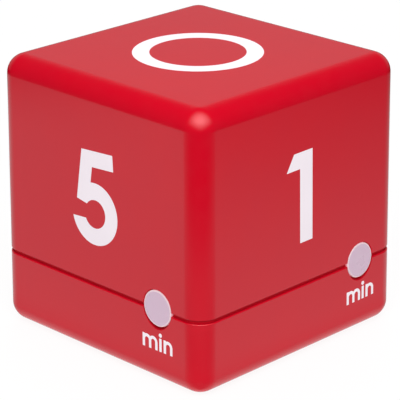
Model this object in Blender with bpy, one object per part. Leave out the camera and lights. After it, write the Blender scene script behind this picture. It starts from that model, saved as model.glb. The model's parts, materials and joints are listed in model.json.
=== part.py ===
"""Cube timer that counts down from whichever numeral is turned upwards.

Two shells meet at a seam low down on the sides. A lamp shines through a round lens on each side,
and ball switches on the board tell which way up the cube stands.
Frame: metres, +Z up, origin in the middle of the underside, the numeral 5 faces -Y, the numeral 1 faces +X.
"""

from math import atan, cos, pi, radians, sin, sqrt

import bmesh
import bpy
from mathutils import Matrix, Vector

# Outside of the cube
SIDE = 0.0635
HEIGHT = 0.0635
DRAFT = 0.0005
UPRIGHT_EDGE_RADIUS = 0.0048
FLAT_EDGE_RADIUS = 0.0045
WALL = 0.0022
INNER_TOP_RADIUS = 0.0015

# Seam between the shells
SEAM_GAP = 0.0008
LIP = 0.0010
LIP_GAP = 0.0002
TONGUE_HEIGHT = 0.0034
LIP_HEADROOM = 0.0004

# Gaps shared by pieces that rest on or in each other
SEAT = 0.0002
FIT = 0.0003
OVERRUN = 0.0010
ROOT = 0.0006

# Numerals, and the ring that marks the off side
NUMERAL_HEIGHT = 0.0212
NUMERAL_CENTRE_HEIGHT = 0.0378
NUMERAL_SHIFT = 0.00035
PRINT_THICKNESS = 0.00015
PRINT_RECESS = 0.00001
PRINT_SEAT = 0.00002
DIGIT_SPACING = 0.0014
ZERO_WIDTH = 0.0141
RING_RADIUS = 0.01465
RING_STROKE = 0.0040

# Lenses and lamps
LENS_RADIUS = 0.0042
LENS_GAP = 0.00025
LENS_FROM_EDGE = 0.01285
LENS_BEVEL = 0.0003
LENS_FLANGE_RADIUS = 0.0052
LENS_FLANGE_THICKNESS = 0.0010
LENS_STUB_RADIUS = 0.0030
LENS_STUB_LENGTH = 0.0009
LED_RADIUS = 0.0015
LED_LENGTH = 0.0022
LED_RIM_RADIUS = 0.0017
LED_RIM_THICKNESS = 0.0005
LED_LEG_WIDTH = 0.00045
LED_LEG_SPACING = 0.0013

# Cells and the well that holds them
CELL_DIAMETER = 0.0105
CELL_LENGTH = 0.0445
CELL_NUB_DIAMETER = 0.0038
CELL_NUB_LENGTH = 0.0008
CELL_EDGE = 0.0005
CELL_SPACING = 0.0008
CELL_CLEARANCE = 0.0003
WELL_SIDE_CLEARANCE = 0.0004
WELL_WALL = 0.0016
WELL_ROOF = 0.0010
WELL_TO_BOSS = 0.0009
SPRING_HEIGHT = 0.0025
SPRING_WIRE = 0.0006
SPRING_BASE_RADIUS = 0.0036
SPRING_TIP_RADIUS = 0.0016
CONTACT_THICKNESS = 0.0004
CONTACT_WIDTH = 0.0072
CONTACT_HEIGHT = 0.0070
CONTACT_DIMPLE = 0.0006
CONTACT_DIMPLE_RADIUS = 0.0018
CONTACT_SEAT = 0.00005
TAG_WIDTH = 0.0024
TAG_ABOVE_BOARD = 0.0008

# Floor of the base and its door
FLOOR = 0.0022
DOOR_THICKNESS = 0.0018
DOOR_RECESS = 0.0002
DOOR_LEDGE = 0.0008
END_LEDGE = 0.0006
TAB_LENGTH = 0.0010
TAB_WIDTH = 0.0044
TAB_THICKNESS = 0.0009
TAB_HEADROOM = 0.0012
NAIL_WIDTH = 0.0100
NAIL_DEPTH = 0.0009
NAIL_LIP_WIDTH = 0.0050
NAIL_LIP_REACH = 0.0008
NAIL_LIP_THICKNESS = 0.0011
GRIP_RIDGE_HEIGHT = 0.0005
GRIP_RIDGE_WIDTH = 0.0008
GRIP_RIDGE_LENGTH = 0.0130
GRIP_RIDGE_PITCH = 0.0018
GRIP_FIELD_DEPTH = 0.0007

# Case screws, their bosses and posts
BOSS_INSET = 0.00595
BOSS_RADIUS = 0.0035
BOSS_TOP = 0.0140
POST_RADIUS = 0.0030
SCREW_HOLE_RADIUS = 0.0016
COUNTERBORE_RADIUS = 0.00275
COUNTERBORE_DEPTH = 0.0050
CASE_SCREW_RADIUS = 0.0013
CASE_SCREW_LENGTH = 0.0160
CASE_SCREW_HEAD_RADIUS = 0.0024
CASE_SCREW_HEAD_HEIGHT = 0.0020
PILOT_GAP = 0.00015

# Main board and its screws
BOARD_THICKNESS = 0.0016
BOARD_EDGE_GAP = 0.0030
BOARD_POST_RADIUS = 0.0022
BOARD_POST_INSET = 0.00415
BOARD_POST_SPREAD = 0.0120
BOARD_SCREW_RADIUS = 0.00095
BOARD_SCREW_LENGTH = 0.0065
BOARD_SCREW_HEAD_RADIUS = 0.0019
BOARD_SCREW_HEAD_HEIGHT = 0.0013
BOARD_SCREW_GAP = 0.00025

# Ball switches
TILT_START = 0.0050
TILT_RISE = radians(12)
TILT_CAN_RADIUS = 0.0027
TILT_BORE_RADIUS = 0.0023
TILT_CAN_LENGTH = 0.0080
TILT_END_WALL = 0.0004
TILT_PLUG_DEPTH = 0.0015
TILT_PLUG_RIM = 0.0006
TILT_BALL_RADIUS = 0.0020
TILT_BALL_GAP = 0.0001
TILT_PIN_WIDTH = 0.0005
TILT_PIN_SPACING = 0.0025

# Other parts on the board
BLOB_RADIUS = 0.0060
BLOB_HEIGHT = 0.0022
BLOB_INSET = 0.01405
CRYSTAL_RADIUS = 0.0010
CRYSTAL_LENGTH = 0.0060
CRYSTAL_BASE = 0.0004
CRYSTAL_INSET = 0.01705
CAPACITOR_RADIUS = 0.0025
CAPACITOR_HEIGHT = 0.0110
CAPACITOR_GROOVE = 0.0003
CAPACITOR_INSET = 0.01505

# Buzzer and its sound holes
BUZZER_RADIUS = 0.0060
BUZZER_HEIGHT = 0.0085
BUZZER_MOUTH_RADIUS = 0.0012
BUZZER_MOUTH_DEPTH = 0.0010
BUZZER_PIN_RADIUS = 0.00035
BUZZER_PIN_SPREAD = 0.0038
BUZZER_PIN_ABOVE_BOARD = 0.0006
BUZZER_INSET = 0.01405
GASKET_BORE_RADIUS = 0.0046
SOUND_HOLE_RADIUS = 0.0008
SOUND_HOLE_PITCH = 0.0028

# Display in the underside
DISPLAY_TO_BUZZER = 0.0010
DISPLAY_GAP = 0.0018
DISPLAY_BOARD_LENGTH = 0.0280
DISPLAY_BOARD_DEPTH = 0.0140
DISPLAY_BOARD_THICKNESS = 0.0012
DISPLAY_BOARD_RAISE = 0.0038
WINDOW_LENGTH = 0.0210
WINDOW_DEPTH = 0.0110
WINDOW_THICKNESS = 0.0009
WINDOW_LEDGE = 0.0015
PANEL_LENGTH = 0.0200
PANEL_DEPTH = 0.0100
PANEL_SHEET = 0.0011
PANEL_CONTACT_LEDGE = 0.0018
ZEBRA_LENGTH = 0.0180
ZEBRA_WIDTH = 0.0012
DISPLAY_POST_RADIUS = 0.0017
DISPLAY_POST_SPREAD = 0.0122
DISPLAY_SCREW_RADIUS = 0.00075
DISPLAY_SCREW_LENGTH = 0.0045
DISPLAY_SCREW_HEAD_RADIUS = 0.0015
DISPLAY_SCREW_HEAD_HEIGHT = 0.0010
RIBBON_WIDTH = 0.0080
RIBBON_THICKNESS = 0.0003
RIBBON_SHIFT = 0.0020
RIBBON_BULGE = 0.0012

# How finely round shapes are divided
CORNER_STEPS = 6
EDGE_STEPS = 5
ROUND = 24
SMALL_ROUND = 12
ARC_STEPS = 20
COIL_TURNS = 3
COIL_STEPS = 10

# Outline of the numeral 5 about the centre of its bowl, as shares of the numeral's height
BOWL_RADIUS_SHARE = 0.335
STROKE_SHARE = 0.184
FIVE_BAR_SHARE = 0.176
FIVE_BAR_END_SHARE = 0.310
FIVE_STEM_TOP_SHARE = -0.148
FIVE_INNER_CORNER_SHARE = -0.001
FIVE_FOOT_SHARES = (-0.263, 0.126)
FIVE_JOIN_ANGLE = radians(97)
FIVE_TAIL_ANGLE = radians(190)
FIVE_TAIL_INNER_ANGLE = radians(202)
FIVE_FOOT_ANGLE = radians(141)
FIVE_TURN = radians(3.7)
ONE_TURN = radians(0.9)

# Outline of the numeral 1 from the lower right corner of its stem, as shares of the numeral's height
ONE_STEM_SHARE = 0.196
ONE_FLAG_SHARE = 0.389
ONE_FLAG_TOP_SHARE = 0.292
ONE_FLAG_DEPTH_SHARE = 0.184

# Sizes that follow from the ones above
HALF = SIDE / 2
FACE_TILT = atan(DRAFT / HEIGHT)
DOOR_TOP = DOOR_RECESS + DOOR_THICKNESS
CELL_AXIS_HEIGHT = DOOR_TOP + CELL_CLEARANCE + CELL_DIAMETER / 2
WELL_CEILING = CELL_AXIS_HEIGHT + CELL_DIAMETER / 2 + CELL_CLEARANCE
WELL_TOP = WELL_CEILING + WELL_ROOF
BOARD_BOTTOM = WELL_TOP + SEAT
BOARD_TOP = BOARD_BOTTOM + BOARD_THICKNESS
SEAM_HEIGHT = BOARD_TOP + SEAT + LED_RADIUS
BASE_RIM = SEAM_HEIGHT - SEAM_GAP / 2
UPPER_RIM = SEAM_HEIGHT + SEAM_GAP / 2
TONGUE_TOP = BASE_RIM + TONGUE_HEIGHT
INNER_HALF = HALF - WALL
BOARD_HALF = INNER_HALF - BOARD_EDGE_GAP
LENS_AT = HALF - LENS_FROM_EDGE
BOSS_AT = INNER_HALF - BOSS_INSET
BOARD_POST_AT = INNER_HALF - BOARD_POST_INSET
BUZZER_AT = INNER_HALF - BUZZER_INSET
DISPLAY_CENTRE = BUZZER_AT - BUZZER_RADIUS - DISPLAY_TO_BUZZER - DISPLAY_BOARD_LENGTH / 2
RIBBON_CENTRE = DISPLAY_CENTRE + RIBBON_SHIFT
BLOB_AT = BOARD_HALF - BLOB_INSET
CRYSTAL_AT = BOARD_HALF - CRYSTAL_INSET
CAPACITOR_AT = BOARD_HALF - CAPACITOR_INSET
BOARD_NOTCH = BOSS_AT - POST_RADIUS - 2 * SEAT
POST_BOTTOM = BOSS_TOP + FIT
WELL_HALF_LENGTH = (CELL_LENGTH + SPRING_HEIGHT + CONTACT_DIMPLE) / 2 + CONTACT_THICKNESS + 3 * CONTACT_SEAT
WELL_FRONT = -(BOSS_AT - BOSS_RADIUS) + WELL_TO_BOSS + WELL_WALL
CELL_FRONT_AT = WELL_FRONT + WELL_SIDE_CLEARANCE + CELL_DIAMETER / 2
CELL_BACK_AT = CELL_FRONT_AT + CELL_DIAMETER + CELL_SPACING
WELL_BACK = CELL_BACK_AT + CELL_DIAMETER / 2 + WELL_SIDE_CLEARANCE
WELL_MIDDLE = (WELL_FRONT + WELL_BACK) / 2
DOORWAY_HALF_LENGTH = WELL_HALF_LENGTH + END_LEDGE
DOORWAY_FRONT = WELL_FRONT - DOOR_LEDGE
DOORWAY_BACK = WELL_BACK + DOOR_LEDGE
DOOR_PIVOT = -(DOORWAY_HALF_LENGTH - FIT / 2)
DISPLAY_AT = WELL_BACK + WELL_WALL + DISPLAY_GAP + DISPLAY_BOARD_DEPTH / 2
DISPLAY_BOARD_BOTTOM = FLOOR + DISPLAY_BOARD_RAISE
DISPLAY_BOARD_TOP = DISPLAY_BOARD_BOTTOM + DISPLAY_BOARD_THICKNESS
PANEL_BOTTOM = FLOOR + SEAT / 2
LENS_FACE = HALF - DRAFT * (SEAM_HEIGHT + LENS_RADIUS) / HEIGHT
LENS_FLANGE_FACE = INNER_HALF - SEAT / 2
LENS_STUB_END = LENS_FLANGE_FACE - LENS_FLANGE_THICKNESS - LENS_STUB_LENGTH
LED_TIP = LENS_STUB_END - FIT
BUZZER_TOP = BOARD_BOTTOM - SEAT
PRINT_DEPTH = PRINT_RECESS + PRINT_THICKNESS + PRINT_SEAT

SIDES = ("front", "right", "back", "left")


def clear_scene():
    for obj in list(bpy.data.objects):
        bpy.data.objects.remove(obj, do_unlink=True)


def plastic(name, colour, roughness, metallic=0.0, alpha=1.0):
    """A Principled material in one colour."""
    made = bpy.data.materials.get(name)
    if made:
        return made
    made = bpy.data.materials.new(name)
    made.use_nodes = True
    shader = made.node_tree.nodes["Principled BSDF"]
    shader.inputs["Base Color"].default_value = (*colour, 1.0)
    shader.inputs["Roughness"].default_value = roughness
    shader.inputs["Metallic"].default_value = metallic
    shader.inputs["Alpha"].default_value = alpha
    made.diffuse_color = (*colour, alpha)
    return made


def red_plastic():
    return plastic("red_satin_plastic", (0.55, 0.02, 0.035), 0.42)


def white_ink():
    return plastic("white_ink", (0.90, 0.86, 0.90), 0.45)


def milky_plastic():
    return plastic("milky_lens_plastic", (0.62, 0.52, 0.66), 0.30)


def steel():
    return plastic("bright_steel", (0.62, 0.62, 0.64), 0.30, 1.0)


def nickel():
    return plastic("nickel_plate", (0.72, 0.70, 0.66), 0.28, 1.0)


def black_plastic():
    return plastic("black_plastic", (0.02, 0.02, 0.022), 0.45)


def green_board():
    return plastic("green_board", (0.03, 0.22, 0.10), 0.40)


def node(name, mesh_builder, material, place=None, sharp=radians(40)):
    """An object from a bmesh: normals turned outwards, round parts smooth."""
    bmesh.ops.recalc_face_normals(mesh_builder, faces=mesh_builder.faces)
    mesh = bpy.data.meshes.new(name)
    mesh_builder.to_mesh(mesh)
    mesh_builder.free()
    mesh.shade_smooth()
    mesh.set_sharp_from_angle(angle=sharp)
    obj = bpy.data.objects.new(name, mesh)
    bpy.context.scene.collection.objects.link(obj)
    if material:
        mesh.materials.append(material)
    if place:
        obj.matrix_world = place
    return obj


def helper(name, mesh_builder, place=None):
    """A cutter or an addition, which only a Boolean uses."""
    obj = node(name, mesh_builder, None, place)
    obj.hide_render = True
    obj.display_type = "WIRE"
    return obj


def combine(target, other, operation):
    modifier = target.modifiers.new(f"{operation.lower()}_{other.name}", "BOOLEAN")
    modifier.object = other
    modifier.operation = operation
    modifier.solver = "EXACT"


def cut(target, other):
    combine(target, other, "DIFFERENCE")


def join(target, other):
    combine(target, other, "UNION")


def add_block(builder, low, high, place=None):
    """A closed box between two corners."""
    corners = [
        Vector((x, y, z)) for z in (low[2], high[2]) for y in (low[1], high[1]) for x in (low[0], high[0])
    ]
    if place:
        corners = [place @ corner for corner in corners]
    points = [builder.verts.new(corner) for corner in corners]
    for face in ((0, 2, 3, 1), (4, 5, 7, 6), (0, 1, 5, 4), (2, 6, 7, 3), (0, 4, 6, 2), (1, 3, 7, 5)):
        builder.faces.new([points[index] for index in face])


def join_rows(builder, first, second):
    """Faces between two closed rows of points, either of which may be a single point."""
    count = max(len(first), len(second))
    for step in range(count):
        after = (step + 1) % count
        corners = (
            first[step % len(first)],
            first[after % len(first)],
            second[after % len(second)],
            second[step % len(second)],
        )
        builder.faces.new(list(dict.fromkeys(corners)))


def add_turned(builder, profile, place=None, steps=ROUND, closed=False):
    """A profile of (radius, height) turned about Z. A closed profile makes a tube."""
    place = place or Matrix()
    rows = []
    for radius, height in profile:
        if radius == 0:
            rows.append([builder.verts.new(place @ Vector((0, 0, height)))])
            continue
        turned = [2 * pi * (step + 0.5) / steps for step in range(steps)]
        rows.append(
            [builder.verts.new(place @ Vector((radius * cos(a), radius * sin(a), height))) for a in turned]
        )
    for first, second in zip(rows, rows[1:]):
        join_rows(builder, first, second)
    if closed:
        join_rows(builder, rows[-1], rows[0])
        return
    for row in (rows[0], rows[-1]):
        if len(row) > 1:
            builder.faces.new(row)


def add_rod(builder, radius, low, high, place=None, steps=ROUND):
    add_turned(builder, ((radius, low), (radius, high)), place, steps)


def add_outline(builder, outline, thickness, place=None):
    """A flat outline of (x, y) points, raised along Z."""
    place = place or Matrix()
    rows = [
        [builder.verts.new(place @ Vector((x, y, height))) for x, y in outline] for height in (0, thickness)
    ]
    join_rows(builder, rows[0], rows[1])
    builder.faces.new(rows[0])
    builder.faces.new(rows[1])


def at(x, y, z=0.0):
    return Matrix.Translation((x, y, z))


def side_turn(index):
    """The quarter turn that brings the front's pieces to side number index."""
    return Matrix.Rotation(radians(90) * index, 4, "Z")


def outward(index):
    """Local Z along the outward direction of side number index, local Y up."""
    return side_turn(index) @ Matrix.Rotation(radians(90), 4, "X")


def face_place(index):
    """A frame on the leaning face of side number index: X to the right, Y up the face, Z out of it."""
    lean = Matrix.Rotation(radians(90) - FACE_TILT, 4, "X")
    return side_turn(index) @ at(0, -HALF) @ lean


def half_at(height):
    return HALF - DRAFT * height / HEIGHT


def square_row(builder, half, corner, height):
    """One level of a shell: a square with rounded corners."""
    row = []
    for quarter, (sign_x, sign_y) in enumerate(((1, 1), (-1, 1), (-1, -1), (1, -1))):
        centre = half - corner
        for step in range(CORNER_STEPS + 1):
            angle = radians(90) * (quarter + step / CORNER_STEPS)
            x = sign_x * centre + corner * cos(angle)
            y = sign_y * centre + corner * sin(angle)
            row.append(builder.verts.new((x, y, height)))
    return row


def square_shell(levels):
    """A closed skin through levels of (half width, corner radius, height)."""
    builder = bmesh.new()
    rows = [square_row(builder, *level) for level in levels]
    for first, second in zip(rows, rows[1:]):
        join_rows(builder, first, second)
    builder.faces.new(rows[0])
    builder.faces.new(rows[-1])
    return builder


def edge_levels(half, corner, radius, end, sign):
    """Levels round a flat edge, from its upright side to the flat face at height end."""
    levels = []
    for step in range(EDGE_STEPS + 1):
        angle = radians(90) * step / EDGE_STEPS
        inset = radius * (1 - cos(angle))
        levels.append((half - inset, corner - inset, end - sign * radius * (1 - sin(angle))))
    return levels


def make_upper_shell():
    top = half_at(HEIGHT - FLAT_EDGE_RADIUS)
    inner_top = top - WALL
    inner_corner = UPRIGHT_EDGE_RADIUS - WALL
    step_height = TONGUE_TOP + LIP_HEADROOM
    lip_inner = half_at(UPPER_RIM) - LIP
    levels = list(reversed(edge_levels(inner_top, inner_corner, INNER_TOP_RADIUS, HEIGHT - WALL, 1)))
    levels += [
        (half_at(step_height) - WALL, inner_corner, step_height),
        (half_at(step_height) - LIP, UPRIGHT_EDGE_RADIUS - LIP, step_height),
        (lip_inner, UPRIGHT_EDGE_RADIUS - LIP, UPPER_RIM),
        (half_at(UPPER_RIM), UPRIGHT_EDGE_RADIUS, UPPER_RIM),
    ]
    levels += edge_levels(top, UPRIGHT_EDGE_RADIUS, FLAT_EDGE_RADIUS, HEIGHT, 1)
    shell = node("upper_shell", square_shell(levels), red_plastic())
    posts = bmesh.new()
    pilots = bmesh.new()
    for sign_x, sign_y in ((1, 1), (-1, 1), (-1, -1), (1, -1)):
        place = at(sign_x * BOSS_AT, sign_y * BOSS_AT)
        add_rod(posts, POST_RADIUS, POST_BOTTOM, HEIGHT - WALL + ROOT, place)
        pilot_top = COUNTERBORE_DEPTH + CASE_SCREW_LENGTH + OVERRUN
        add_rod(pilots, CASE_SCREW_RADIUS + PILOT_GAP, POST_BOTTOM - OVERRUN, pilot_top, place)
    join(shell, helper("posts_of_upper_shell", posts))
    cut(shell, helper("pilot_holes", pilots))
    cut(shell, lens_holes("lens_holes_of_upper_shell"))
    return shell


def lens_holes(name):
    """Cutters for the four round holes that straddle the seam."""
    builder = bmesh.new()
    for index in range(len(SIDES)):
        place = outward(index) @ at(LENS_AT, SEAM_HEIGHT)
        add_rod(builder, LENS_RADIUS + LENS_GAP, INNER_HALF - OVERRUN, HALF + OVERRUN, place, 2 * ROUND)
    return helper(name, builder)


def make_base_shell():
    low_corner = UPRIGHT_EDGE_RADIUS
    inner_corner = UPRIGHT_EDGE_RADIUS - WALL
    tongue = half_at(BASE_RIM) - LIP - LIP_GAP
    tongue_corner = UPRIGHT_EDGE_RADIUS - LIP - LIP_GAP
    levels = list(reversed(edge_levels(half_at(FLAT_EDGE_RADIUS), low_corner, FLAT_EDGE_RADIUS, 0, -1)))
    levels += [
        (half_at(BASE_RIM), UPRIGHT_EDGE_RADIUS, BASE_RIM),
        (tongue, tongue_corner, BASE_RIM),
        (tongue, tongue_corner, TONGUE_TOP),
        (INNER_HALF - DRAFT, inner_corner, TONGUE_TOP),
        (INNER_HALF - DRAFT, inner_corner, FLOOR),
    ]
    shell = node("base_shell", square_shell(levels), red_plastic())
    join(shell, well_block())
    join(shell, base_posts())
    cut(shell, cell_space())
    cut(shell, doorway())
    cut(shell, tab_slots())
    cut(shell, screw_holes())
    cut(shell, floor_holes())
    cut(shell, window_rebate())
    cut(shell, lens_holes("lens_holes_of_base_shell"))
    return shell


def well_block():
    """The solid block that the space for the cells is cut from."""
    builder = bmesh.new()
    reach = WELL_HALF_LENGTH + WELL_WALL
    add_block(
        builder,
        (-reach, WELL_FRONT - WELL_WALL, FLOOR - ROOT),
        (reach, WELL_BACK + WELL_WALL, WELL_TOP),
    )
    return helper("block_for_cells", builder)


def base_posts():
    """Bosses for the case screws and posts under the two boards."""
    builder = bmesh.new()
    for sign_x, sign_y in ((1, 1), (-1, 1), (-1, -1), (1, -1)):
        add_rod(builder, BOSS_RADIUS, FLOOR - ROOT, BOSS_TOP, at(sign_x * BOSS_AT, sign_y * BOSS_AT))
    for x, y in board_screw_places():
        add_rod(builder, BOARD_POST_RADIUS, FLOOR - ROOT, BOARD_BOTTOM - SEAT, at(x, y), SMALL_ROUND)
    for x, y in display_screw_places():
        top = DISPLAY_BOARD_BOTTOM - SEAT
        add_rod(builder, DISPLAY_POST_RADIUS, FLOOR - ROOT, top, at(x, y), SMALL_ROUND)
    return helper("posts_of_base_shell", builder)


def board_screw_places():
    front = WELL_FRONT - WELL_WALL - BOARD_POST_RADIUS - WELL_TO_BOSS
    return ((-BOARD_POST_SPREAD, BOARD_POST_AT), (BOARD_POST_SPREAD, BOARD_POST_AT), (0, front))


def display_screw_places():
    return tuple((DISPLAY_CENTRE + sign * DISPLAY_POST_SPREAD, DISPLAY_AT) for sign in (-1, 1))


def cell_space():
    """The space for the cells, with two slits in its roof for the soldering tags."""
    builder = bmesh.new()
    add_block(
        builder,
        (-WELL_HALF_LENGTH, WELL_FRONT, -OVERRUN),
        (WELL_HALF_LENGTH, WELL_BACK, WELL_CEILING),
    )
    space = helper("space_for_cells", builder)
    slits = bmesh.new()
    for y in (CELL_FRONT_AT, CELL_BACK_AT):
        add_block(
            slits,
            (-WELL_HALF_LENGTH, y - TAG_WIDTH / 2 - FIT, WELL_CEILING - OVERRUN),
            (-WELL_HALF_LENGTH + CONTACT_THICKNESS + 2 * FIT, y + TAG_WIDTH / 2 + FIT, WELL_TOP + OVERRUN),
        )
    join(space, helper("slits_for_tags", slits))
    return space


def doorway():
    """The opening that the door closes, with the nail notch at its free end."""
    builder = bmesh.new()
    add_block(
        builder,
        (-DOORWAY_HALF_LENGTH, DOORWAY_FRONT, -OVERRUN),
        (DOORWAY_HALF_LENGTH, DOORWAY_BACK, FLOOR),
    )
    opening = helper("doorway", builder)
    notch = bmesh.new()
    add_block(
        notch,
        (DOORWAY_HALF_LENGTH - OVERRUN, WELL_MIDDLE - NAIL_WIDTH / 2, -OVERRUN),
        (DOORWAY_HALF_LENGTH + NAIL_DEPTH, WELL_MIDDLE + NAIL_WIDTH / 2, FLOOR),
    )
    join(opening, helper("nail_notch", notch))
    return opening


def tab_places():
    return (CELL_FRONT_AT, CELL_BACK_AT)


def tab_slots():
    """Slots in the end wall of the well, which the door's tabs reach through."""
    builder = bmesh.new()
    for y in tab_places():
        add_block(
            builder,
            (-WELL_HALF_LENGTH - WELL_WALL - OVERRUN, y - TAB_WIDTH / 2 - FIT, FLOOR),
            (-WELL_HALF_LENGTH + OVERRUN, y + TAB_WIDTH / 2 + FIT, DOOR_TOP + TAB_THICKNESS + TAB_HEADROOM),
        )
    return helper("slots_for_tabs", builder)


def screw_holes():
    """Stepped holes for the case screws and blind pilot holes in the board posts."""
    builder = bmesh.new()
    for sign_x, sign_y in ((1, 1), (-1, 1), (-1, -1), (1, -1)):
        profile = (
            (COUNTERBORE_RADIUS, -OVERRUN),
            (COUNTERBORE_RADIUS, COUNTERBORE_DEPTH),
            (SCREW_HOLE_RADIUS, COUNTERBORE_DEPTH),
            (SCREW_HOLE_RADIUS, BOSS_TOP + OVERRUN),
        )
        add_turned(builder, profile, at(sign_x * BOSS_AT, sign_y * BOSS_AT))
    for x, y in board_screw_places():
        bottom = BOARD_TOP - BOARD_SCREW_LENGTH - FIT
        add_rod(builder, BOARD_SCREW_RADIUS + PILOT_GAP, bottom, BOARD_BOTTOM, at(x, y), SMALL_ROUND)
    for x, y in display_screw_places():
        bottom = max(DISPLAY_BOARD_TOP - DISPLAY_SCREW_LENGTH - FIT, FLOOR)
        radius = DISPLAY_SCREW_RADIUS + PILOT_GAP
        add_rod(builder, radius, bottom, DISPLAY_BOARD_BOTTOM, at(x, y), SMALL_ROUND)
    return helper("screw_holes", builder)


def floor_holes():
    """Sound holes under the buzzer: one in the middle and six round it."""
    builder = bmesh.new()
    places = [(BUZZER_AT, DISPLAY_AT)]
    for step in range(6):
        angle = radians(60) * step
        places.append((BUZZER_AT + SOUND_HOLE_PITCH * cos(angle), DISPLAY_AT + SOUND_HOLE_PITCH * sin(angle)))
    for x, y in places:
        add_rod(builder, SOUND_HOLE_RADIUS, -OVERRUN, FLOOR + OVERRUN, at(x, y), SMALL_ROUND)
    return helper("sound_holes", builder)


def window_rebate():
    """The stepped hole for the display's window."""
    builder = bmesh.new()
    half_length = WINDOW_LENGTH / 2 + SEAT
    half_depth = WINDOW_DEPTH / 2 + SEAT
    add_block(
        builder,
        (DISPLAY_CENTRE - half_length, DISPLAY_AT - half_depth, -OVERRUN),
        (DISPLAY_CENTRE + half_length, DISPLAY_AT + half_depth, WINDOW_THICKNESS + 2 * SEAT),
    )
    rebate = helper("window_rebate", builder)
    through = bmesh.new()
    half_length -= WINDOW_LEDGE
    half_depth -= WINDOW_LEDGE
    add_block(
        through,
        (DISPLAY_CENTRE - half_length, DISPLAY_AT - half_depth, -OVERRUN / 2),
        (DISPLAY_CENTRE + half_length, DISPLAY_AT + half_depth, FLOOR + OVERRUN),
    )
    join(rebate, helper("window_opening", through))
    return rebate


def make_door():
    """The battery door: a plate with two tabs at its hinge end and a nail lip at the other.

    The object's origin lies on the line that the door tips about.
    """
    origin = Vector((DOOR_PIVOT, WELL_MIDDLE, DOOR_RECESS))
    place = Matrix.Translation(-origin)
    half_length = DOORWAY_HALF_LENGTH - FIT
    builder = bmesh.new()
    add_block(
        builder,
        (-half_length, DOORWAY_FRONT + FIT, DOOR_RECESS),
        (half_length, DOORWAY_BACK - FIT, DOOR_TOP),
        place,
    )
    door = node("battery_door", builder, red_plastic(), Matrix.Translation(origin))
    tabs = bmesh.new()
    for y in tab_places():
        low = DOOR_TOP + 2 * SEAT
        tip = -DOORWAY_HALF_LENGTH - TAB_LENGTH
        root = -WELL_HALF_LENGTH + CONTACT_SEAT
        add_block(tabs, (tip, y - TAB_WIDTH / 2, low), (root, y + TAB_WIDTH / 2, low + TAB_THICKNESS), place)
    tab_roots = bmesh.new()
    for y in tab_places():
        add_block(
            tab_roots,
            (-half_length, y - TAB_WIDTH / 2, DOOR_TOP - ROOT),
            (-WELL_HALF_LENGTH + CONTACT_SEAT, y + TAB_WIDTH / 2, DOOR_TOP + 2 * SEAT + TAB_THICKNESS / 2),
            place,
        )
    lip = bmesh.new()
    add_block(
        lip,
        (half_length - ROOT, WELL_MIDDLE - NAIL_LIP_WIDTH / 2, DOOR_TOP - NAIL_LIP_THICKNESS),
        (half_length + NAIL_LIP_REACH, WELL_MIDDLE + NAIL_LIP_WIDTH / 2, DOOR_TOP),
        place,
    )
    join(door, placed_helper("door_tabs", tabs, origin))
    join(door, placed_helper("door_tab_roots", tab_roots, origin))
    join(door, placed_helper("door_lip", lip, origin))
    cut(door, placed_helper("door_grip", grip_grooves(half_length, place), origin))
    return door


def grip_grooves(half_length, place):
    """Three grooves across the door, under the thumb that tips it out."""
    builder = bmesh.new()
    for step in range(3):
        x = half_length - GRIP_FIELD_DEPTH - GRIP_RIDGE_PITCH * (step + 1)
        add_block(
            builder,
            (x - GRIP_RIDGE_WIDTH / 2, WELL_MIDDLE - GRIP_RIDGE_LENGTH / 2, DOOR_RECESS - OVERRUN),
            (x + GRIP_RIDGE_WIDTH / 2, WELL_MIDDLE + GRIP_RIDGE_LENGTH / 2, DOOR_RECESS + GRIP_RIDGE_HEIGHT),
            place,
        )
    return builder


def placed_helper(name, builder, origin):
    return helper(name, builder, Matrix.Translation(origin))


def make_cell(name, y, direction):
    """A cell along X. Its raised end points along direction, which is 1 or -1."""
    radius = CELL_DIAMETER / 2
    body = CELL_LENGTH - CELL_NUB_LENGTH
    profile = (
        (0, 0),
        (radius - CELL_EDGE, 0),
        (radius, CELL_EDGE),
        (radius, body - CELL_EDGE),
        (radius - CELL_EDGE, body),
        (CELL_NUB_DIAMETER / 2, body),
        (CELL_NUB_DIAMETER / 2, CELL_LENGTH),
        (0, CELL_LENGTH),
    )
    tip = WELL_HALF_LENGTH - 2 * CONTACT_SEAT - CONTACT_THICKNESS - CONTACT_DIMPLE
    along_x = Matrix.Rotation(radians(90), 4, "Y")
    if direction < 0:
        along_x = Matrix.Rotation(radians(-90), 4, "Y")
    place = at(direction * (tip - CELL_LENGTH), y, CELL_AXIS_HEIGHT) @ along_x
    builder = bmesh.new()
    add_turned(builder, profile)
    return node(name, builder, plastic("cell_label", (0.05, 0.05, 0.055), 0.35, 0.4), place)


def contact_plate(builder, x_low, x_high, y, half_width):
    low = CELL_AXIS_HEIGHT - CONTACT_HEIGHT / 2
    add_block(builder, (x_low, y - half_width, low), (x_high, y + half_width, low + CONTACT_HEIGHT))


def dimple(direction, x, y):
    """The raised spot of a contact, which meets a cell's nub."""
    builder = bmesh.new()
    profile = (
        (0, -CONTACT_THICKNESS / 2),
        (CONTACT_DIMPLE_RADIUS, -CONTACT_THICKNESS / 2),
        (CONTACT_DIMPLE_RADIUS, 0),
        (CONTACT_DIMPLE_RADIUS / 2, CONTACT_DIMPLE),
        (0, CONTACT_DIMPLE),
    )
    add_turned(builder, profile, steps=SMALL_ROUND)
    turn = Matrix.Rotation(radians(90) * direction, 4, "Y")
    return helper(f"dimple_{SIDES[2 - direction]}", builder, at(x, y, CELL_AXIS_HEIGHT) @ turn)


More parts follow.
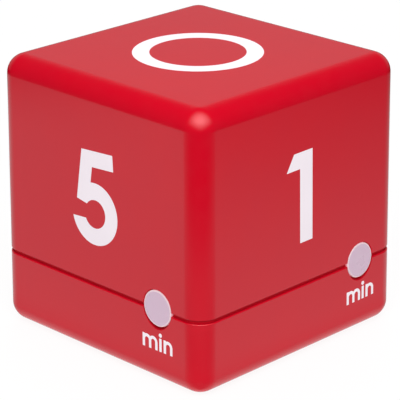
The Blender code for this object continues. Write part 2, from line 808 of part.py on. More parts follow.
def make_tagged_contact(name, y, with_dimple):
    """A contact at the -X end, with a tag that runs up through the roof and the board."""
    outer = -WELL_HALF_LENGTH + CONTACT_SEAT
    inner = outer + CONTACT_THICKNESS
    builder = bmesh.new()
    contact_plate(builder, outer, inner, y, CONTACT_WIDTH / 2)
    contact = node(name, builder, nickel())
    tag = bmesh.new()
    low = CELL_AXIS_HEIGHT
    add_block(
        tag,
        (outer, y - TAG_WIDTH / 2, low),
        (inner, y + TAG_WIDTH / 2, BOARD_TOP + TAG_ABOVE_BOARD),
    )
    join(contact, helper(f"tag_of_{name}", tag))
    if with_dimple:
        join(contact, dimple(1, inner, y))
    return contact


def make_bridge_contact():
    """The contact at the +X end, which joins the two cells."""
    outer = WELL_HALF_LENGTH - CONTACT_SEAT
    inner = outer - CONTACT_THICKNESS
    half_width = (CELL_BACK_AT - CELL_FRONT_AT + CONTACT_WIDTH) / 2
    builder = bmesh.new()
    contact_plate(builder, inner, outer, (CELL_FRONT_AT + CELL_BACK_AT) / 2, half_width)
    contact = node("contact_bridge", builder, nickel())
    join(contact, dimple(-1, inner, CELL_BACK_AT))
    return contact


def make_spring(name, y, direction):
    """A conical contact spring whose wide end sits on the contact at the end that direction names."""
    rise = SPRING_HEIGHT - SPRING_WIRE - CONTACT_SEAT
    base = WELL_HALF_LENGTH - CONTACT_SEAT - CONTACT_THICKNESS - SPRING_WIRE / 2 - CONTACT_SEAT
    curve = bpy.data.curves.new(name, "CURVE")
    curve.dimensions = "3D"
    curve.bevel_depth = SPRING_WIRE / 2
    curve.bevel_resolution = 1
    curve.use_fill_caps = True
    spline = curve.splines.new("POLY")
    count = COIL_TURNS * COIL_STEPS + 1
    spline.points.add(count - 1)
    for step, point in enumerate(spline.points):
        share = step / (count - 1)
        angle = 2 * pi * COIL_TURNS * share
        radius = SPRING_BASE_RADIUS + (SPRING_TIP_RADIUS - SPRING_BASE_RADIUS) * share
        point.co = (rise * share, radius * cos(angle), radius * sin(angle), 1.0)
    spring = bpy.data.objects.new(name, curve)
    bpy.context.scene.collection.objects.link(spring)
    curve.materials.append(steel())
    turn = Matrix.Rotation(radians(180), 4, "Z") if direction > 0 else Matrix()
    spring.matrix_world = at(direction * base, y, CELL_AXIS_HEIGHT) @ turn
    return spring


def screw_profile(radius, length, head_radius, head_height):
    """A screw with its head's underside at height 0, its shank pointing down and its head up."""
    dome = head_height / 3
    return (
        (0, -length),
        (radius / 2, -length),
        (radius, -length + radius),
        (radius, 0),
        (head_radius, 0),
        (head_radius, head_height - dome),
        (head_radius * 2 / 3, head_height),
        (0, head_height),
    )


def make_screw(name, place, radius, length, head_radius, head_height):
    builder = bmesh.new()
    add_turned(builder, screw_profile(radius, length, head_radius, head_height), steps=SMALL_ROUND)
    screw = node(name, builder, steel(), place)
    cross = bmesh.new()
    slot = head_radius / 7
    depth = head_height / 2
    add_block(cross, (-3 * slot, -slot, depth), (3 * slot, slot, head_height + OVERRUN))
    arms = helper(f"cross_of_{name}", cross, place)
    other = bmesh.new()
    add_block(other, (-slot, -3 * slot, depth), (slot, 3 * slot, head_height + OVERRUN))
    join(arms, helper(f"cross_arm_of_{name}", other, place))
    cut(screw, arms)
    return screw


def make_screws():
    upside_down = Matrix.Rotation(radians(180), 4, "X")
    corners = (("front_left", -1, -1), ("front_right", 1, -1), ("back_right", 1, 1), ("back_left", -1, 1))
    for name, sign_x, sign_y in corners:
        place = at(sign_x * BOSS_AT, sign_y * BOSS_AT, COUNTERBORE_DEPTH - CONTACT_SEAT) @ upside_down
        make_screw(
            f"case_screw_{name}",
            place,
            CASE_SCREW_RADIUS,
            CASE_SCREW_LENGTH,
            CASE_SCREW_HEAD_RADIUS,
            CASE_SCREW_HEAD_HEIGHT,
        )
    for name, (x, y) in zip(("back_left", "back_right", "front"), board_screw_places()):
        make_screw(
            f"board_screw_{name}",
            at(x, y, BOARD_TOP + CONTACT_SEAT),
            BOARD_SCREW_RADIUS,
            BOARD_SCREW_LENGTH,
            BOARD_SCREW_HEAD_RADIUS,
            BOARD_SCREW_HEAD_HEIGHT,
        )
    for name, (x, y) in zip(("left", "right"), display_screw_places()):
        make_screw(
            f"display_screw_{name}",
            at(x, y, DISPLAY_BOARD_TOP + CONTACT_SEAT),
            DISPLAY_SCREW_RADIUS,
            DISPLAY_SCREW_LENGTH,
            DISPLAY_SCREW_HEAD_RADIUS,
            DISPLAY_SCREW_HEAD_HEIGHT,
        )


def make_main_board():
    """The board, notched at its corners for the posts and drilled for screws, pins and tags."""
    outline = []
    corners = ((1, 1), (-1, 1), (-1, -1), (1, -1))
    for sign_x, sign_y in corners:
        points = [
            (sign_x * BOARD_HALF, sign_y * BOARD_NOTCH),
            (sign_x * BOARD_NOTCH, sign_y * BOARD_NOTCH),
            (sign_x * BOARD_NOTCH, sign_y * BOARD_HALF),
        ]
        if sign_x * sign_y < 0:
            points.reverse()
        outline += points
    builder = bmesh.new()
    add_outline(builder, outline, BOARD_THICKNESS, at(0, 0, BOARD_BOTTOM))
    board = node("main_board", builder, green_board())
    holes = bmesh.new()
    low, high = BOARD_BOTTOM - OVERRUN, BOARD_TOP + OVERRUN
    for x, y in board_screw_places():
        add_rod(holes, BOARD_SCREW_RADIUS + BOARD_SCREW_GAP, low, high, at(x, y), SMALL_ROUND)
    for x, y in buzzer_pin_places():
        add_rod(holes, BUZZER_PIN_RADIUS + BOARD_SCREW_GAP, low, high, at(x, y), SMALL_ROUND)
    for y in (CELL_FRONT_AT, CELL_BACK_AT):
        add_block(
            holes,
            (-WELL_HALF_LENGTH - FIT, y - TAG_WIDTH / 2 - FIT, low),
            (-WELL_HALF_LENGTH + CONTACT_THICKNESS + FIT, y + TAG_WIDTH / 2 + FIT, high),
        )
    cut(board, helper("holes_of_main_board", holes))
    return board


def make_lens(index):
    """A stepped light pipe: a disc in the side, a flange behind the wall and a stub towards the lamp."""
    profile = (
        (0, LENS_STUB_END),
        (LENS_STUB_RADIUS, LENS_STUB_END),
        (LENS_STUB_RADIUS, LENS_FLANGE_FACE - LENS_FLANGE_THICKNESS),
        (LENS_FLANGE_RADIUS, LENS_FLANGE_FACE - LENS_FLANGE_THICKNESS),
        (LENS_FLANGE_RADIUS, LENS_FLANGE_FACE - DRAFT),
        (LENS_RADIUS, LENS_FLANGE_FACE - DRAFT),
        (LENS_RADIUS, LENS_FACE - LENS_BEVEL),
        (LENS_RADIUS - LENS_BEVEL, LENS_FACE),
        (0, LENS_FACE),
    )
    builder = bmesh.new()
    add_turned(builder, profile)
    place = outward(index) @ at(LENS_AT, SEAM_HEIGHT)
    return node(f"lens_{SIDES[index]}", builder, milky_plastic(), place)


def make_led(index):
    """A lamp lying on its side above the board's edge, with two legs down to the board."""
    back = LED_TIP - LED_LENGTH
    dome = LED_RADIUS / 2
    profile = (
        (0, back),
        (LED_RIM_RADIUS, back),
        (LED_RIM_RADIUS, back + LED_RIM_THICKNESS),
        (LED_RADIUS, back + LED_RIM_THICKNESS),
        (LED_RADIUS, LED_TIP - dome),
        (LED_RADIUS * sqrt(3) / 2, LED_TIP - dome / 2),
        (LED_RADIUS / 2, LED_TIP - dome / 8),
        (0, LED_TIP),
    )
    builder = bmesh.new()
    add_turned(builder, profile, steps=SMALL_ROUND)
    place = outward(index) @ at(LENS_AT, SEAM_HEIGHT)
    led = node(f"led_{SIDES[index]}", builder, plastic("led_epoxy", (0.80, 0.76, 0.70), 0.20), place)
    legs = bmesh.new()
    foot = BOARD_TOP - SEAM_HEIGHT + CONTACT_SEAT
    for sign in (-1, 1):
        x = sign * LED_LEG_SPACING / 2
        add_block(
            legs,
            (x - LED_LEG_WIDTH / 2, foot, back - LED_LEG_WIDTH),
            (x + LED_LEG_WIDTH / 2, LED_LEG_WIDTH, back + LED_LEG_WIDTH),
        )
    join(led, helper(f"legs_of_led_{SIDES[index]}", legs, place))
    return led


def tilt_place(index):
    """A frame on a ball switch's axis: Z runs outwards and a little upwards from its closed end."""
    lowest = TILT_CAN_RADIUS * cos(TILT_RISE)
    start = at(0, -TILT_START, BOARD_TOP + SEAT + lowest)
    return side_turn(index) @ start @ Matrix.Rotation(radians(90) - TILT_RISE, 4, "X")


def make_tilt_switch(index):
    """A can closed at its inner end, a plug with two pins, and the ball that rolls between them."""
    place = tilt_place(index)
    side = SIDES[index]
    can = bmesh.new()
    profile = (
        (0, 0),
        (TILT_CAN_RADIUS, 0),
        (TILT_CAN_RADIUS, TILT_CAN_LENGTH),
        (TILT_BORE_RADIUS, TILT_CAN_LENGTH),
        (TILT_BORE_RADIUS, TILT_END_WALL),
        (0, TILT_END_WALL),
    )
    add_turned(can, profile, steps=ROUND * 2 // 3)
    node(f"tilt_can_{side}", can, nickel(), place)
    plug = bmesh.new()
    seat = TILT_CAN_LENGTH + CONTACT_SEAT
    inner = TILT_CAN_LENGTH - TILT_PLUG_DEPTH
    plug_radius = TILT_BORE_RADIUS - SEAT
    profile = (
        (0, inner),
        (plug_radius, inner),
        (plug_radius, seat),
        (TILT_CAN_RADIUS, seat),
        (TILT_CAN_RADIUS, seat + TILT_PLUG_RIM),
        (0, seat + TILT_PLUG_RIM),
    )
    add_turned(plug, profile, steps=ROUND * 2 // 3)
    plug_node = node(f"tilt_plug_{side}", plug, black_plastic(), place)
    join(plug_node, tilt_pins(index, seat))
    builder = bmesh.new()
    rise = TILT_BALL_RADIUS
    bmesh.ops.create_uvsphere(builder, u_segments=SMALL_ROUND, v_segments=SMALL_ROUND * 2 // 3, radius=rise)
    rest = place @ at(0, 0, TILT_END_WALL + TILT_BALL_GAP + rise)
    node(f"tilt_ball_{side}", builder, steel(), rest)


def tilt_pins(index, seat):
    """Pins that leave the plug, then turn down to the board."""
    rim = seat + TILT_PLUG_RIM
    reach = TILT_START + rim * cos(TILT_RISE) + TILT_PIN_WIDTH
    height = BOARD_TOP + SEAT + TILT_CAN_RADIUS * cos(TILT_RISE) + rim * sin(TILT_RISE)
    builder = bmesh.new()
    for sign in (-1, 1):
        x = sign * TILT_PIN_SPACING / 2
        add_block(
            builder,
            (x - TILT_PIN_WIDTH / 2, -reach - TILT_PIN_WIDTH / 2, BOARD_TOP + CONTACT_SEAT),
            (x + TILT_PIN_WIDTH / 2, -reach + 2 * TILT_PIN_WIDTH, height),
        )
    slot = helper(f"pin_limit_{SIDES[index]}", pin_limit(reach, height), side_turn(index))
    pins = helper(f"pins_{SIDES[index]}", builder, side_turn(index))
    cut(pins, slot)
    return pins


def pin_limit(reach, height):
    """What keeps the upright part of the pins clear of the can: all that lies behind them and low."""
    builder = bmesh.new()
    add_block(
        builder,
        (-TILT_CAN_RADIUS, -reach + TILT_PIN_WIDTH / 2, BOARD_TOP - OVERRUN),
        (TILT_CAN_RADIUS, -reach + TILT_PIN_WIDTH * 3, height - TILT_PIN_WIDTH),
    )
    return builder


def make_board_parts():
    """The controller under its drop of resin, the crystal and the capacitor."""
    base = BOARD_TOP + CONTACT_SEAT
    blob = bmesh.new()
    profile = [(0, base)]
    for step in range(5):
        angle = radians(90) * step / 4
        profile.append((BLOB_RADIUS * cos(angle), base + BLOB_HEIGHT * sin(angle)))
    profile[-1] = (0, base + BLOB_HEIGHT)
    add_turned(blob, profile, at(-BLOB_AT, -BLOB_AT))
    node("controller_blob", blob, plastic("black_resin", (0.015, 0.015, 0.016), 0.30))
    crystal = bmesh.new()
    profile = (
        (0, 0),
        (CRYSTAL_RADIUS, 0),
        (CRYSTAL_RADIUS, CRYSTAL_LENGTH - CRYSTAL_BASE),
        (CRYSTAL_RADIUS - CRYSTAL_BASE, CRYSTAL_LENGTH),
        (0, CRYSTAL_LENGTH),
    )
    lying = at(CRYSTAL_AT, CRYSTAL_AT, base + CRYSTAL_RADIUS) @ Matrix.Rotation(radians(90), 4, "Y")
    add_turned(crystal, profile, lying, SMALL_ROUND)
    node("crystal", crystal, nickel())
    capacitor = bmesh.new()
    neck = CAPACITOR_RADIUS - CAPACITOR_GROOVE
    profile = (
        (0, base),
        (CAPACITOR_RADIUS, base),
        (CAPACITOR_RADIUS, base + 2 * CAPACITOR_GROOVE),
        (neck, base + 4 * CAPACITOR_GROOVE),
        (CAPACITOR_RADIUS, base + 6 * CAPACITOR_GROOVE),
        (CAPACITOR_RADIUS, base + CAPACITOR_HEIGHT - CAPACITOR_GROOVE),
        (neck, base + CAPACITOR_HEIGHT),
        (0, base + CAPACITOR_HEIGHT),
    )
    add_turned(capacitor, profile, at(CAPACITOR_AT, -CAPACITOR_AT), ROUND * 2 // 3)
    node("capacitor", capacitor, plastic("capacitor_sleeve", (0.03, 0.05, 0.14), 0.35))


def buzzer_pin_places():
    return tuple((BUZZER_AT + sign * BUZZER_PIN_SPREAD, DISPLAY_AT) for sign in (-1, 1))


def make_buzzer():
    """The buzzer hangs from the board by its pins, its mouth towards the sound holes."""
    bottom = BUZZER_TOP - BUZZER_HEIGHT
    builder = bmesh.new()
    profile = (
        (0, bottom + BUZZER_MOUTH_DEPTH),
        (BUZZER_MOUTH_RADIUS, bottom + BUZZER_MOUTH_DEPTH),
        (BUZZER_MOUTH_RADIUS, bottom),
        (BUZZER_RADIUS - CELL_EDGE, bottom),
        (BUZZER_RADIUS, bottom + CELL_EDGE),
        (BUZZER_RADIUS, BUZZER_TOP),
        (0, BUZZER_TOP),
    )
    add_turned(builder, profile, at(BUZZER_AT, DISPLAY_AT))
    buzzer = node("buzzer", builder, black_plastic())
    pins = bmesh.new()
    for x, y in buzzer_pin_places():
        high = BOARD_TOP + BUZZER_PIN_ABOVE_BOARD
        add_rod(pins, BUZZER_PIN_RADIUS, BUZZER_TOP - ROOT, high, at(x, y), SMALL_ROUND)
    join(buzzer, helper("pins_of_buzzer", pins))
    gasket = bmesh.new()
    low, high = FLOOR + CONTACT_SEAT, bottom - CONTACT_SEAT
    outer = BUZZER_RADIUS - SEAT
    profile = ((GASKET_BORE_RADIUS, low), (outer, low), (outer, high), (GASKET_BORE_RADIUS, high))
    add_turned(gasket, profile, at(BUZZER_AT, DISPLAY_AT), closed=True)
    node("buzzer_gasket", gasket, plastic("grey_foam", (0.10, 0.10, 0.11), 0.90))


def centred_block(builder, x, y, length, depth, low, high):
    add_block(builder, (x - length / 2, y - depth / 2, low), (x + length / 2, y + depth / 2, high))


def make_display():
    """The window, the glass panel, the striped rubber that feeds it, its board and the ribbon."""
    window = bmesh.new()
    high = SEAT + WINDOW_THICKNESS
    centred_block(window, DISPLAY_CENTRE, DISPLAY_AT, WINDOW_LENGTH, WINDOW_DEPTH, SEAT, high)
    node("display_window", window, plastic("clear_window", (0.55, 0.58, 0.58), 0.08, alpha=0.35))
    panel = bmesh.new()
    middle = PANEL_BOTTOM + PANEL_SHEET
    centred_block(panel, DISPLAY_CENTRE, DISPLAY_AT, PANEL_LENGTH, PANEL_DEPTH, PANEL_BOTTOM, middle)
    glass = node("display_panel", panel, plastic("display_glass", (0.33, 0.37, 0.30), 0.12))
    upper = bmesh.new()
    depth = PANEL_DEPTH - PANEL_CONTACT_LEDGE
    top = middle + PANEL_SHEET
    upper_at = DISPLAY_AT - PANEL_CONTACT_LEDGE / 2
    low = middle - PANEL_SHEET / 2
    centred_block(upper, DISPLAY_CENTRE, upper_at, PANEL_LENGTH, depth, low, top)
    join(glass, helper("upper_sheet_of_panel", upper))
    zebra = bmesh.new()
    zebra_at = DISPLAY_AT + PANEL_DEPTH / 2 - PANEL_CONTACT_LEDGE / 2
    low, high = middle + CONTACT_SEAT, DISPLAY_BOARD_BOTTOM - CONTACT_SEAT
    centred_block(zebra, DISPLAY_CENTRE, zebra_at, ZEBRA_LENGTH, ZEBRA_WIDTH, low, high)
    node("zebra_strip", zebra, plastic("striped_rubber", (0.45, 0.32, 0.30), 0.60))
    board = bmesh.new()
    length, depth = DISPLAY_BOARD_LENGTH, DISPLAY_BOARD_DEPTH
    low, high = DISPLAY_BOARD_BOTTOM, DISPLAY_BOARD_TOP
    centred_block(board, DISPLAY_CENTRE, DISPLAY_AT, length, depth, low, high)
    display_board = node("display_board", board, green_board())
    holes = bmesh.new()
    for x, y in display_screw_places():
        radius = DISPLAY_SCREW_RADIUS + BOARD_SCREW_GAP
        add_rod(holes, radius, low - OVERRUN, high + OVERRUN, at(x, y), SMALL_ROUND)
    cut(display_board, helper("holes_of_display_board", holes))
    make_ribbon()


def make_ribbon():
    """The flat cable from the display's board up to the main board: one arc that bulges outwards."""
    low = DISPLAY_BOARD_TOP + CONTACT_SEAT
    high = BOARD_BOTTOM - CONTACT_SEAT
    foot = DISPLAY_AT + DISPLAY_BOARD_DEPTH / 2 - RIBBON_BULGE
    outline = []
    for offset, order in ((0, 1), (RIBBON_THICKNESS, -1)):
        row = []
        for step in range(SMALL_ROUND + 1):
            share = step / SMALL_ROUND
            row.append((foot + offset + RIBBON_BULGE * sin(pi * share), low + (high - low) * share))
        outline += row[::order]
    upright = Matrix.Rotation(radians(90), 4, "Z") @ Matrix.Rotation(radians(90), 4, "X")
    builder = bmesh.new()
    add_outline(builder, outline, RIBBON_WIDTH, at(RIBBON_CENTRE - RIBBON_WIDTH / 2, 0) @ upright)
    node("ribbon_cable", builder, plastic("ribbon_film", (0.65, 0.62, 0.55), 0.40))


def arc(radius, start, end):
    """Points along a circle about (0, 0), from one angle to another."""
    turned = [start + (end - start) * step / ARC_STEPS for step in range(ARC_STEPS + 1)]
    return [(radius * cos(angle), radius * sin(angle)) for angle in turned]


def five_outline(height):
    """The numeral 5 about its bowl's centre, clockwise from the top left."""
    bowl = BOWL_RADIUS_SHARE * height
    inner = bowl - STROKE_SHARE * height
    top = height - bowl
    bar_bottom = top - FIVE_BAR_SHARE * height
    points = [
        (FIVE_STEM_TOP_SHARE * height, top),
        (FIVE_BAR_END_SHARE * height, top),
        (FIVE_BAR_END_SHARE * height, bar_bottom),
        (FIVE_INNER_CORNER_SHARE * height, bar_bottom),
    ]
    points += arc(bowl, FIVE_JOIN_ANGLE, FIVE_TAIL_ANGLE - 2 * pi)
    points += arc(inner, FIVE_TAIL_INNER_ANGLE - 2 * pi, FIVE_FOOT_ANGLE)
    points.append(tuple(share * height for share in FIVE_FOOT_SHARES))
    return points


def one_outline(height):
    """The numeral 1 from the foot of its stem's right edge, clockwise."""
    stem = -ONE_STEM_SHARE * height
    flag = height - ONE_FLAG_DEPTH_SHARE * height
    return [
        (0, 0),
        (stem, 0),
        (stem, flag),
        (-ONE_FLAG_SHARE * height, flag),
        (-ONE_FLAG_TOP_SHARE * height, height),
        (0, height),
    ]


def grown(outline, gap):
    """The outline, which runs clockwise, with each of its edges moved outwards."""
    points = [Vector(point) for point in outline]
    moved = []
    for before, point, after in zip(points[-1:] + points, points, points[1:] + points[:1]):
        arriving = (point - before).normalized()
        leaving = (after - point).normalized()
        corner = Vector((-arriving.y - leaving.y, arriving.x + leaving.x))
        moved.append(point + corner * (2 * gap / corner.length_squared))
    return moved


def add_oval_tube(builder, place, low, high, gap):
    """The oval 0 with an even stroke, grown by a gap all round."""
    half_width = ZERO_WIDTH / 2
    half_height = NUMERAL_HEIGHT / 2
    stroke = STROKE_SHARE * NUMERAL_HEIGHT
    rows = []
    for height in (low, high):
        for inset in (-gap, stroke + gap):
            row = []
            for step in range(2 * ROUND):
                angle = pi * step / ROUND
                x = (half_width - inset) * cos(angle)
                y = (half_height - inset) * sin(angle)
                row.append(builder.verts.new(place @ Vector((x, y, height))))
            rows.append(row)
    for first, second in ((0, 1), (1, 3), (3, 2), (2, 0)):
        join_rows(builder, rows[first], rows[second])


def make_zero_digit(name, place, pockets):
    builder = bmesh.new()
    add_oval_tube(builder, place, -PRINT_RECESS - PRINT_THICKNESS, -PRINT_RECESS, 0)
    add_oval_tube(pockets, place, -PRINT_DEPTH, OVERRUN, PRINT_SEAT)
    return node(name, builder, white_ink())


def make_printed(name, outline, place, pockets):
    """A film of ink let into a face. The pocket it lies in joins the others."""
    builder = bmesh.new()
    add_outline(builder, outline, PRINT_THICKNESS)
    room = grown(outline, PRINT_SEAT)
    add_outline(pockets, room, PRINT_DEPTH + OVERRUN, place @ at(0, 0, -PRINT_DEPTH))
    return node(name, builder, white_ink(), place @ at(0, 0, -PRINT_RECESS - PRINT_THICKNESS))


def make_numerals(pockets):
    """The ink of the numerals: 5 in front, 1 on the right, 15 behind, 10 on the left."""
    height = NUMERAL_HEIGHT
    bowl = BOWL_RADIUS_SHARE * height
    one_width = ONE_FLAG_SHARE * height
    five_left = sqrt(bowl**2 - (bowl * sin(FIVE_TAIL_ANGLE)) ** 2)
    five_width = five_left + bowl
    low = NUMERAL_CENTRE_HEIGHT - height / 2
    faces = [face_place(index) for index in range(len(SIDES))]
    five_turn = Matrix.Rotation(FIVE_TURN, 4, "Z")
    one_turn = Matrix.Rotation(ONE_TURN, 4, "Z")
    five = five_outline(height)
    one = one_outline(height)
    make_printed("numeral_five", five, faces[0] @ at(-NUMERAL_SHIFT, low + bowl) @ five_turn, pockets)
    one_place = at(one_width / 2 - 3 * NUMERAL_SHIFT, low)
    make_printed("numeral_one", one, faces[1] @ one_place @ one_turn, pockets)
    total = one_width + DIGIT_SPACING + five_width
    start = -total / 2
    make_printed("numeral_fifteen_one", one, faces[2] @ at(start + one_width, low), pockets)
    five_at = start + one_width + DIGIT_SPACING + five_left
    make_printed("numeral_fifteen_five", five, faces[2] @ at(five_at, low + bowl), pockets)
    total = one_width + DIGIT_SPACING + ZERO_WIDTH
    start = -total / 2
    make_printed("numeral_ten_one", one, faces[3] @ at(start + one_width, low), pockets)
    zero_at = start + one_width + DIGIT_SPACING + ZERO_WIDTH / 2
    make_zero_digit("numeral_ten_zero", faces[3] @ at(zero_at, NUMERAL_CENTRE_HEIGHT), pockets)


def add_ring(builder, low, high, gap):
    inner = RING_RADIUS - RING_STROKE - gap
    outer = RING_RADIUS + gap
    profile = ((inner, low), (outer, low), (outer, high), (inner, high))
    add_turned(builder, profile, at(0, 0, HEIGHT), 2 * ROUND, closed=True)


def make_off_ring(pockets):
    """The printed ring on the top, the side that is up when the timer is off."""
    builder = bmesh.new()
    add_ring(builder, -PRINT_RECESS - PRINT_THICKNESS, -PRINT_RECESS, 0)
    add_ring(pockets, -PRINT_DEPTH, OVERRUN, PRINT_SEAT)
    return node("off_ring", builder, white_ink())


def make_prints(shell):
    pockets = bmesh.new()
    make_numerals(pockets)
    make_off_ring(pockets)
    cut(shell, helper("pockets_for_ink", pockets))


def main():
    clear_scene()
    upper_shell = make_upper_shell()
    make_base_shell()
    make_door()
    make_cell("cell_front", CELL_FRONT_AT, -1)
    make_cell("cell_back", CELL_BACK_AT, 1)
    make_tagged_contact("contact_positive", CELL_FRONT_AT, True)
    make_tagged_contact("contact_negative", CELL_BACK_AT, False)
    make_bridge_contact()
    make_spring("spring_bridge", CELL_FRONT_AT, 1)
    make_spring("spring_negative", CELL_BACK_AT, -1)
    make_screws()
    make_main_board()
    for index in range(len(SIDES)):
        make_lens(index)
        make_led(index)
        make_tilt_switch(index)
    make_board_parts()
    make_buzzer()
    make_display()
    make_prints(upper_shell)


main()
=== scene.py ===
"""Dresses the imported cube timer: fine shells and prints, materials, stage, lights and camera.

Meshes are built in millimetres in the row frame and scaled to metres when they become pieces.
Materials, stage, lights and camera are in metres.
"""

import json
from itertools import product
from math import atan, cos, pi, radians, sin, sqrt

import bmesh
import bpy
import numpy as np
from mathutils import Euler, Matrix, Vector

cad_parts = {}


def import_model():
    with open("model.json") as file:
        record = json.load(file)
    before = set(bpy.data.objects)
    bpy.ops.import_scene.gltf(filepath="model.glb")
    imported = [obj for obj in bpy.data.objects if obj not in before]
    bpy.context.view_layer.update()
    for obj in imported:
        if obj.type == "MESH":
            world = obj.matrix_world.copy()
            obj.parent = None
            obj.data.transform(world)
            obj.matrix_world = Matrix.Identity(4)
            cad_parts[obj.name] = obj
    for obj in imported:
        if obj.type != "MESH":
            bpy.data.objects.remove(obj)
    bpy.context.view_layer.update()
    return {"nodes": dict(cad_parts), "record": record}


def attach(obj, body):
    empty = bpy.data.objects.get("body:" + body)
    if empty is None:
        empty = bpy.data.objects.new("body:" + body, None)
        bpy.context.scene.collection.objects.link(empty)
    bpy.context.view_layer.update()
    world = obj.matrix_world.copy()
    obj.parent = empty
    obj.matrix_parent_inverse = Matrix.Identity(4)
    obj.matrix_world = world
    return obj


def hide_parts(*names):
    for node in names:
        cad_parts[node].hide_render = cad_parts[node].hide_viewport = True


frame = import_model()

MM = 0.001
SIDES = ("front", "right", "back", "left")

# Case: UPRIGHT and FLAT are the radii of its upright and its flat edges
HALF = 31.75
HEIGHT = 63.5
DRAFT = 0.5
TILT = atan(DRAFT / HEIGHT)
UPRIGHT = 4.8
FLAT = 4.5
WALL = 2.2
INNER_TOP = 1.5
INNER_HALF = HALF - WALL
BASE_RIM = 17.13
UPPER_RIM = 17.91
SEAM = 17.6
BASE_ROUND = 0.28
UPPER_ROUND = 0.22
ROUND_STEPS = 8
REVEAL = 0.65
LIP = 1.0
LIP_GAP = 0.2
LIP_BOTTOM = UPPER_RIM - 0.1
TONGUE_TOP = BASE_RIM + 3.4
STEP_HEIGHT = TONGUE_TOP + 0.4
FLOOR = 2.2

# Reach of cuts past a surface, depth of joins, and clearances
OVERRUN = 1.0
ROOT = 0.6
FIT = 0.3
SEAT = 0.2
CLOSE = 0.05
NEAR = 0.01

# Lenses, as x, z and radius: each hole has its own shift, and its gap drops below the lens
LENSES = ((18.87, 17.81, 4.12), (18.98, 17.61, 4.08), (18.92, 17.70, 4.10), (18.92, 17.70, 4.10))
HOLE_GAP = 0.12
HOLE_SHIFTS = (-0.10, 0.10, 0.0, 0.0)
HOLE_DROP = 0.55
HOLE_STEP = 0.02
HOLE_DEPTH = 0.70
HOLE_CHAMFER = 0.06
LENS_FACE = HALF - DRAFT * SEAM / HEIGHT + 0.04
LENS_ROUND = 0.24
LENS_RIM = 0.34
LENS_DOME = 0.03
LENS_STEPS = 128
LENS_FLANGE = 5.2
LENS_PLUG = 3.0

# Cells and their well
CELL_R = 5.25
CELL_LENGTH = 44.5
CELL_AXIS = 7.55
CELL_TIP = 23.25
SPRING_WIRE = 0.6
SPRING_BASE = 23.55
SPRING_LENGTH = 1.85
SPRING_WIDE = 3.6
SPRING_NARROW = 1.6
WELL_CEILING = 13.1
WELL_TOP = 14.1
WELL_HALF = 24.35
WELL_WALL = 1.6
WELL_FRONT = -17.6
CELL_FRONT = WELL_FRONT + 0.4 + CELL_R
CELL_BACK = CELL_FRONT + 2 * CELL_R + 0.8
WELL_BACK = CELL_BACK + CELL_R + 0.4
WELL_MIDDLE = (WELL_FRONT + WELL_BACK) / 2
TAG_HALF = 1.5
TAG_SLOT = 1.0

# Door
DOORWAY_HALF = WELL_HALF + 0.6
DOORWAY_EDGE = 0.8
DOOR_BOTTOM = 0.2
DOOR_TOP = 2.0
TAB_HALF = 2.2
TAB_BOTTOM = 2.4
TAB_TOP = 3.3
NOTCH_HALF = 5.0
LIP_REACH = 0.8
GRIP_PITCH = 1.8
GRIP_LENGTH = 13.0

# Boards, display, buzzer and screws
BOARD_BOTTOM = 14.3
BOARD_TOP = 15.9
BOARD_POST_AT = 25.4
BOARD_POST_R = 2.2
BOARD_SCREWS = (
    ("back_left", -12.0, BOARD_POST_AT),
    ("back_right", 12.0, BOARD_POST_AT),
    ("front", 0.0, WELL_FRONT - WELL_WALL - BOARD_POST_R - 0.9),
)
PANEL_BOTTOM = 2.3
DISPLAY_X = -5.5
DISPLAY_Y = WELL_BACK + WELL_WALL + 1.8 + 7.0
DISPLAY_POST_R = 1.7
DISPLAY_POST_TOP = 5.8
DISPLAY_BOARD_TOP = 7.2
DISPLAY_SCREWS = (("left", DISPLAY_X - 12.2, DISPLAY_Y), ("right", DISPLAY_X + 12.2, DISPLAY_Y))
WINDOW_HALF = (10.5, 5.5)
WINDOW_LEDGE = 1.3
BUZZER_X = 15.5
SOUND_HOLE_R = 0.8
SOUND_RING = 2.8
BOSS_AT = 23.6
BOSS_TOP = 14.0
BOSS_R = 3.5
POST_R = 3.0
PILOT_R = 1.45
PILOT_TOP = 22.0
SCREW_HOLE_R = 1.6
HEAD_HOLE_R = 2.75
HEAD_HOLE_DEPTH = 5.0
CASE_SCREWS = (
    ("front_left", -BOSS_AT, -BOSS_AT),
    ("front_right", BOSS_AT, -BOSS_AT),
    ("back_right", BOSS_AT, BOSS_AT),
    ("back_left", -BOSS_AT, BOSS_AT),
)

# Prints
NUMERAL = 21.2
NUMERAL_CENTRE = 37.8
RING_R = 14.51
RING_STROKE = 3.79
RING_CENTRE = (-0.38, 0.125)
ZERO_WIDTH = 14.1
STROKE = 3.82
FIVE_CENTRE = 33.95
FIVE_X = -0.33
FIVE_LEAN = 3.86
FIVE_BOWL = 7.11
ONE_HEIGHT = 20.82
ONE_WIDTH = 8.14
ONE_FOOT = 27.43
ONE_X = 3.06
ONE_LEAN = 0.73
DIGIT_GAP = 1.4
INK_DEPTH = 0.10
INK_GAP = 0.01
MARK_LOW = -0.05
MARK_HIGH = 0.02
UNIT_SPOTS = ((14.33, 7.98), (14.80, 7.87), (14.50, 7.93), (14.50, 7.93))
UNIT_LEAN = 0.85


def half_at(z):
    return HALF - DRAFT * z / HEIGHT


# Mesh building


def quarter(steps):
    """Angles from 0 to 90 degrees."""
    return [pi / 2 * step / steps for step in range(steps + 1)]


def built(add, *values):
    """A new builder that holds one shape."""
    builder = bmesh.new()
    add(builder, *values)
    return builder


def at(x=0.0, y=0.0, z=0.0):
    return Matrix.Translation((x, y, z))


def turn(degrees, axis):
    return Matrix.Rotation(radians(degrees), 4, axis)


def places(spots):
    return [at(x, y) for _, x, y in spots]


def side_turn(index):
    return turn(90 * index, "Z")


def outward(index):
    """Local Z out of side number index, local Y up."""
    return side_turn(index) @ turn(90, "X")


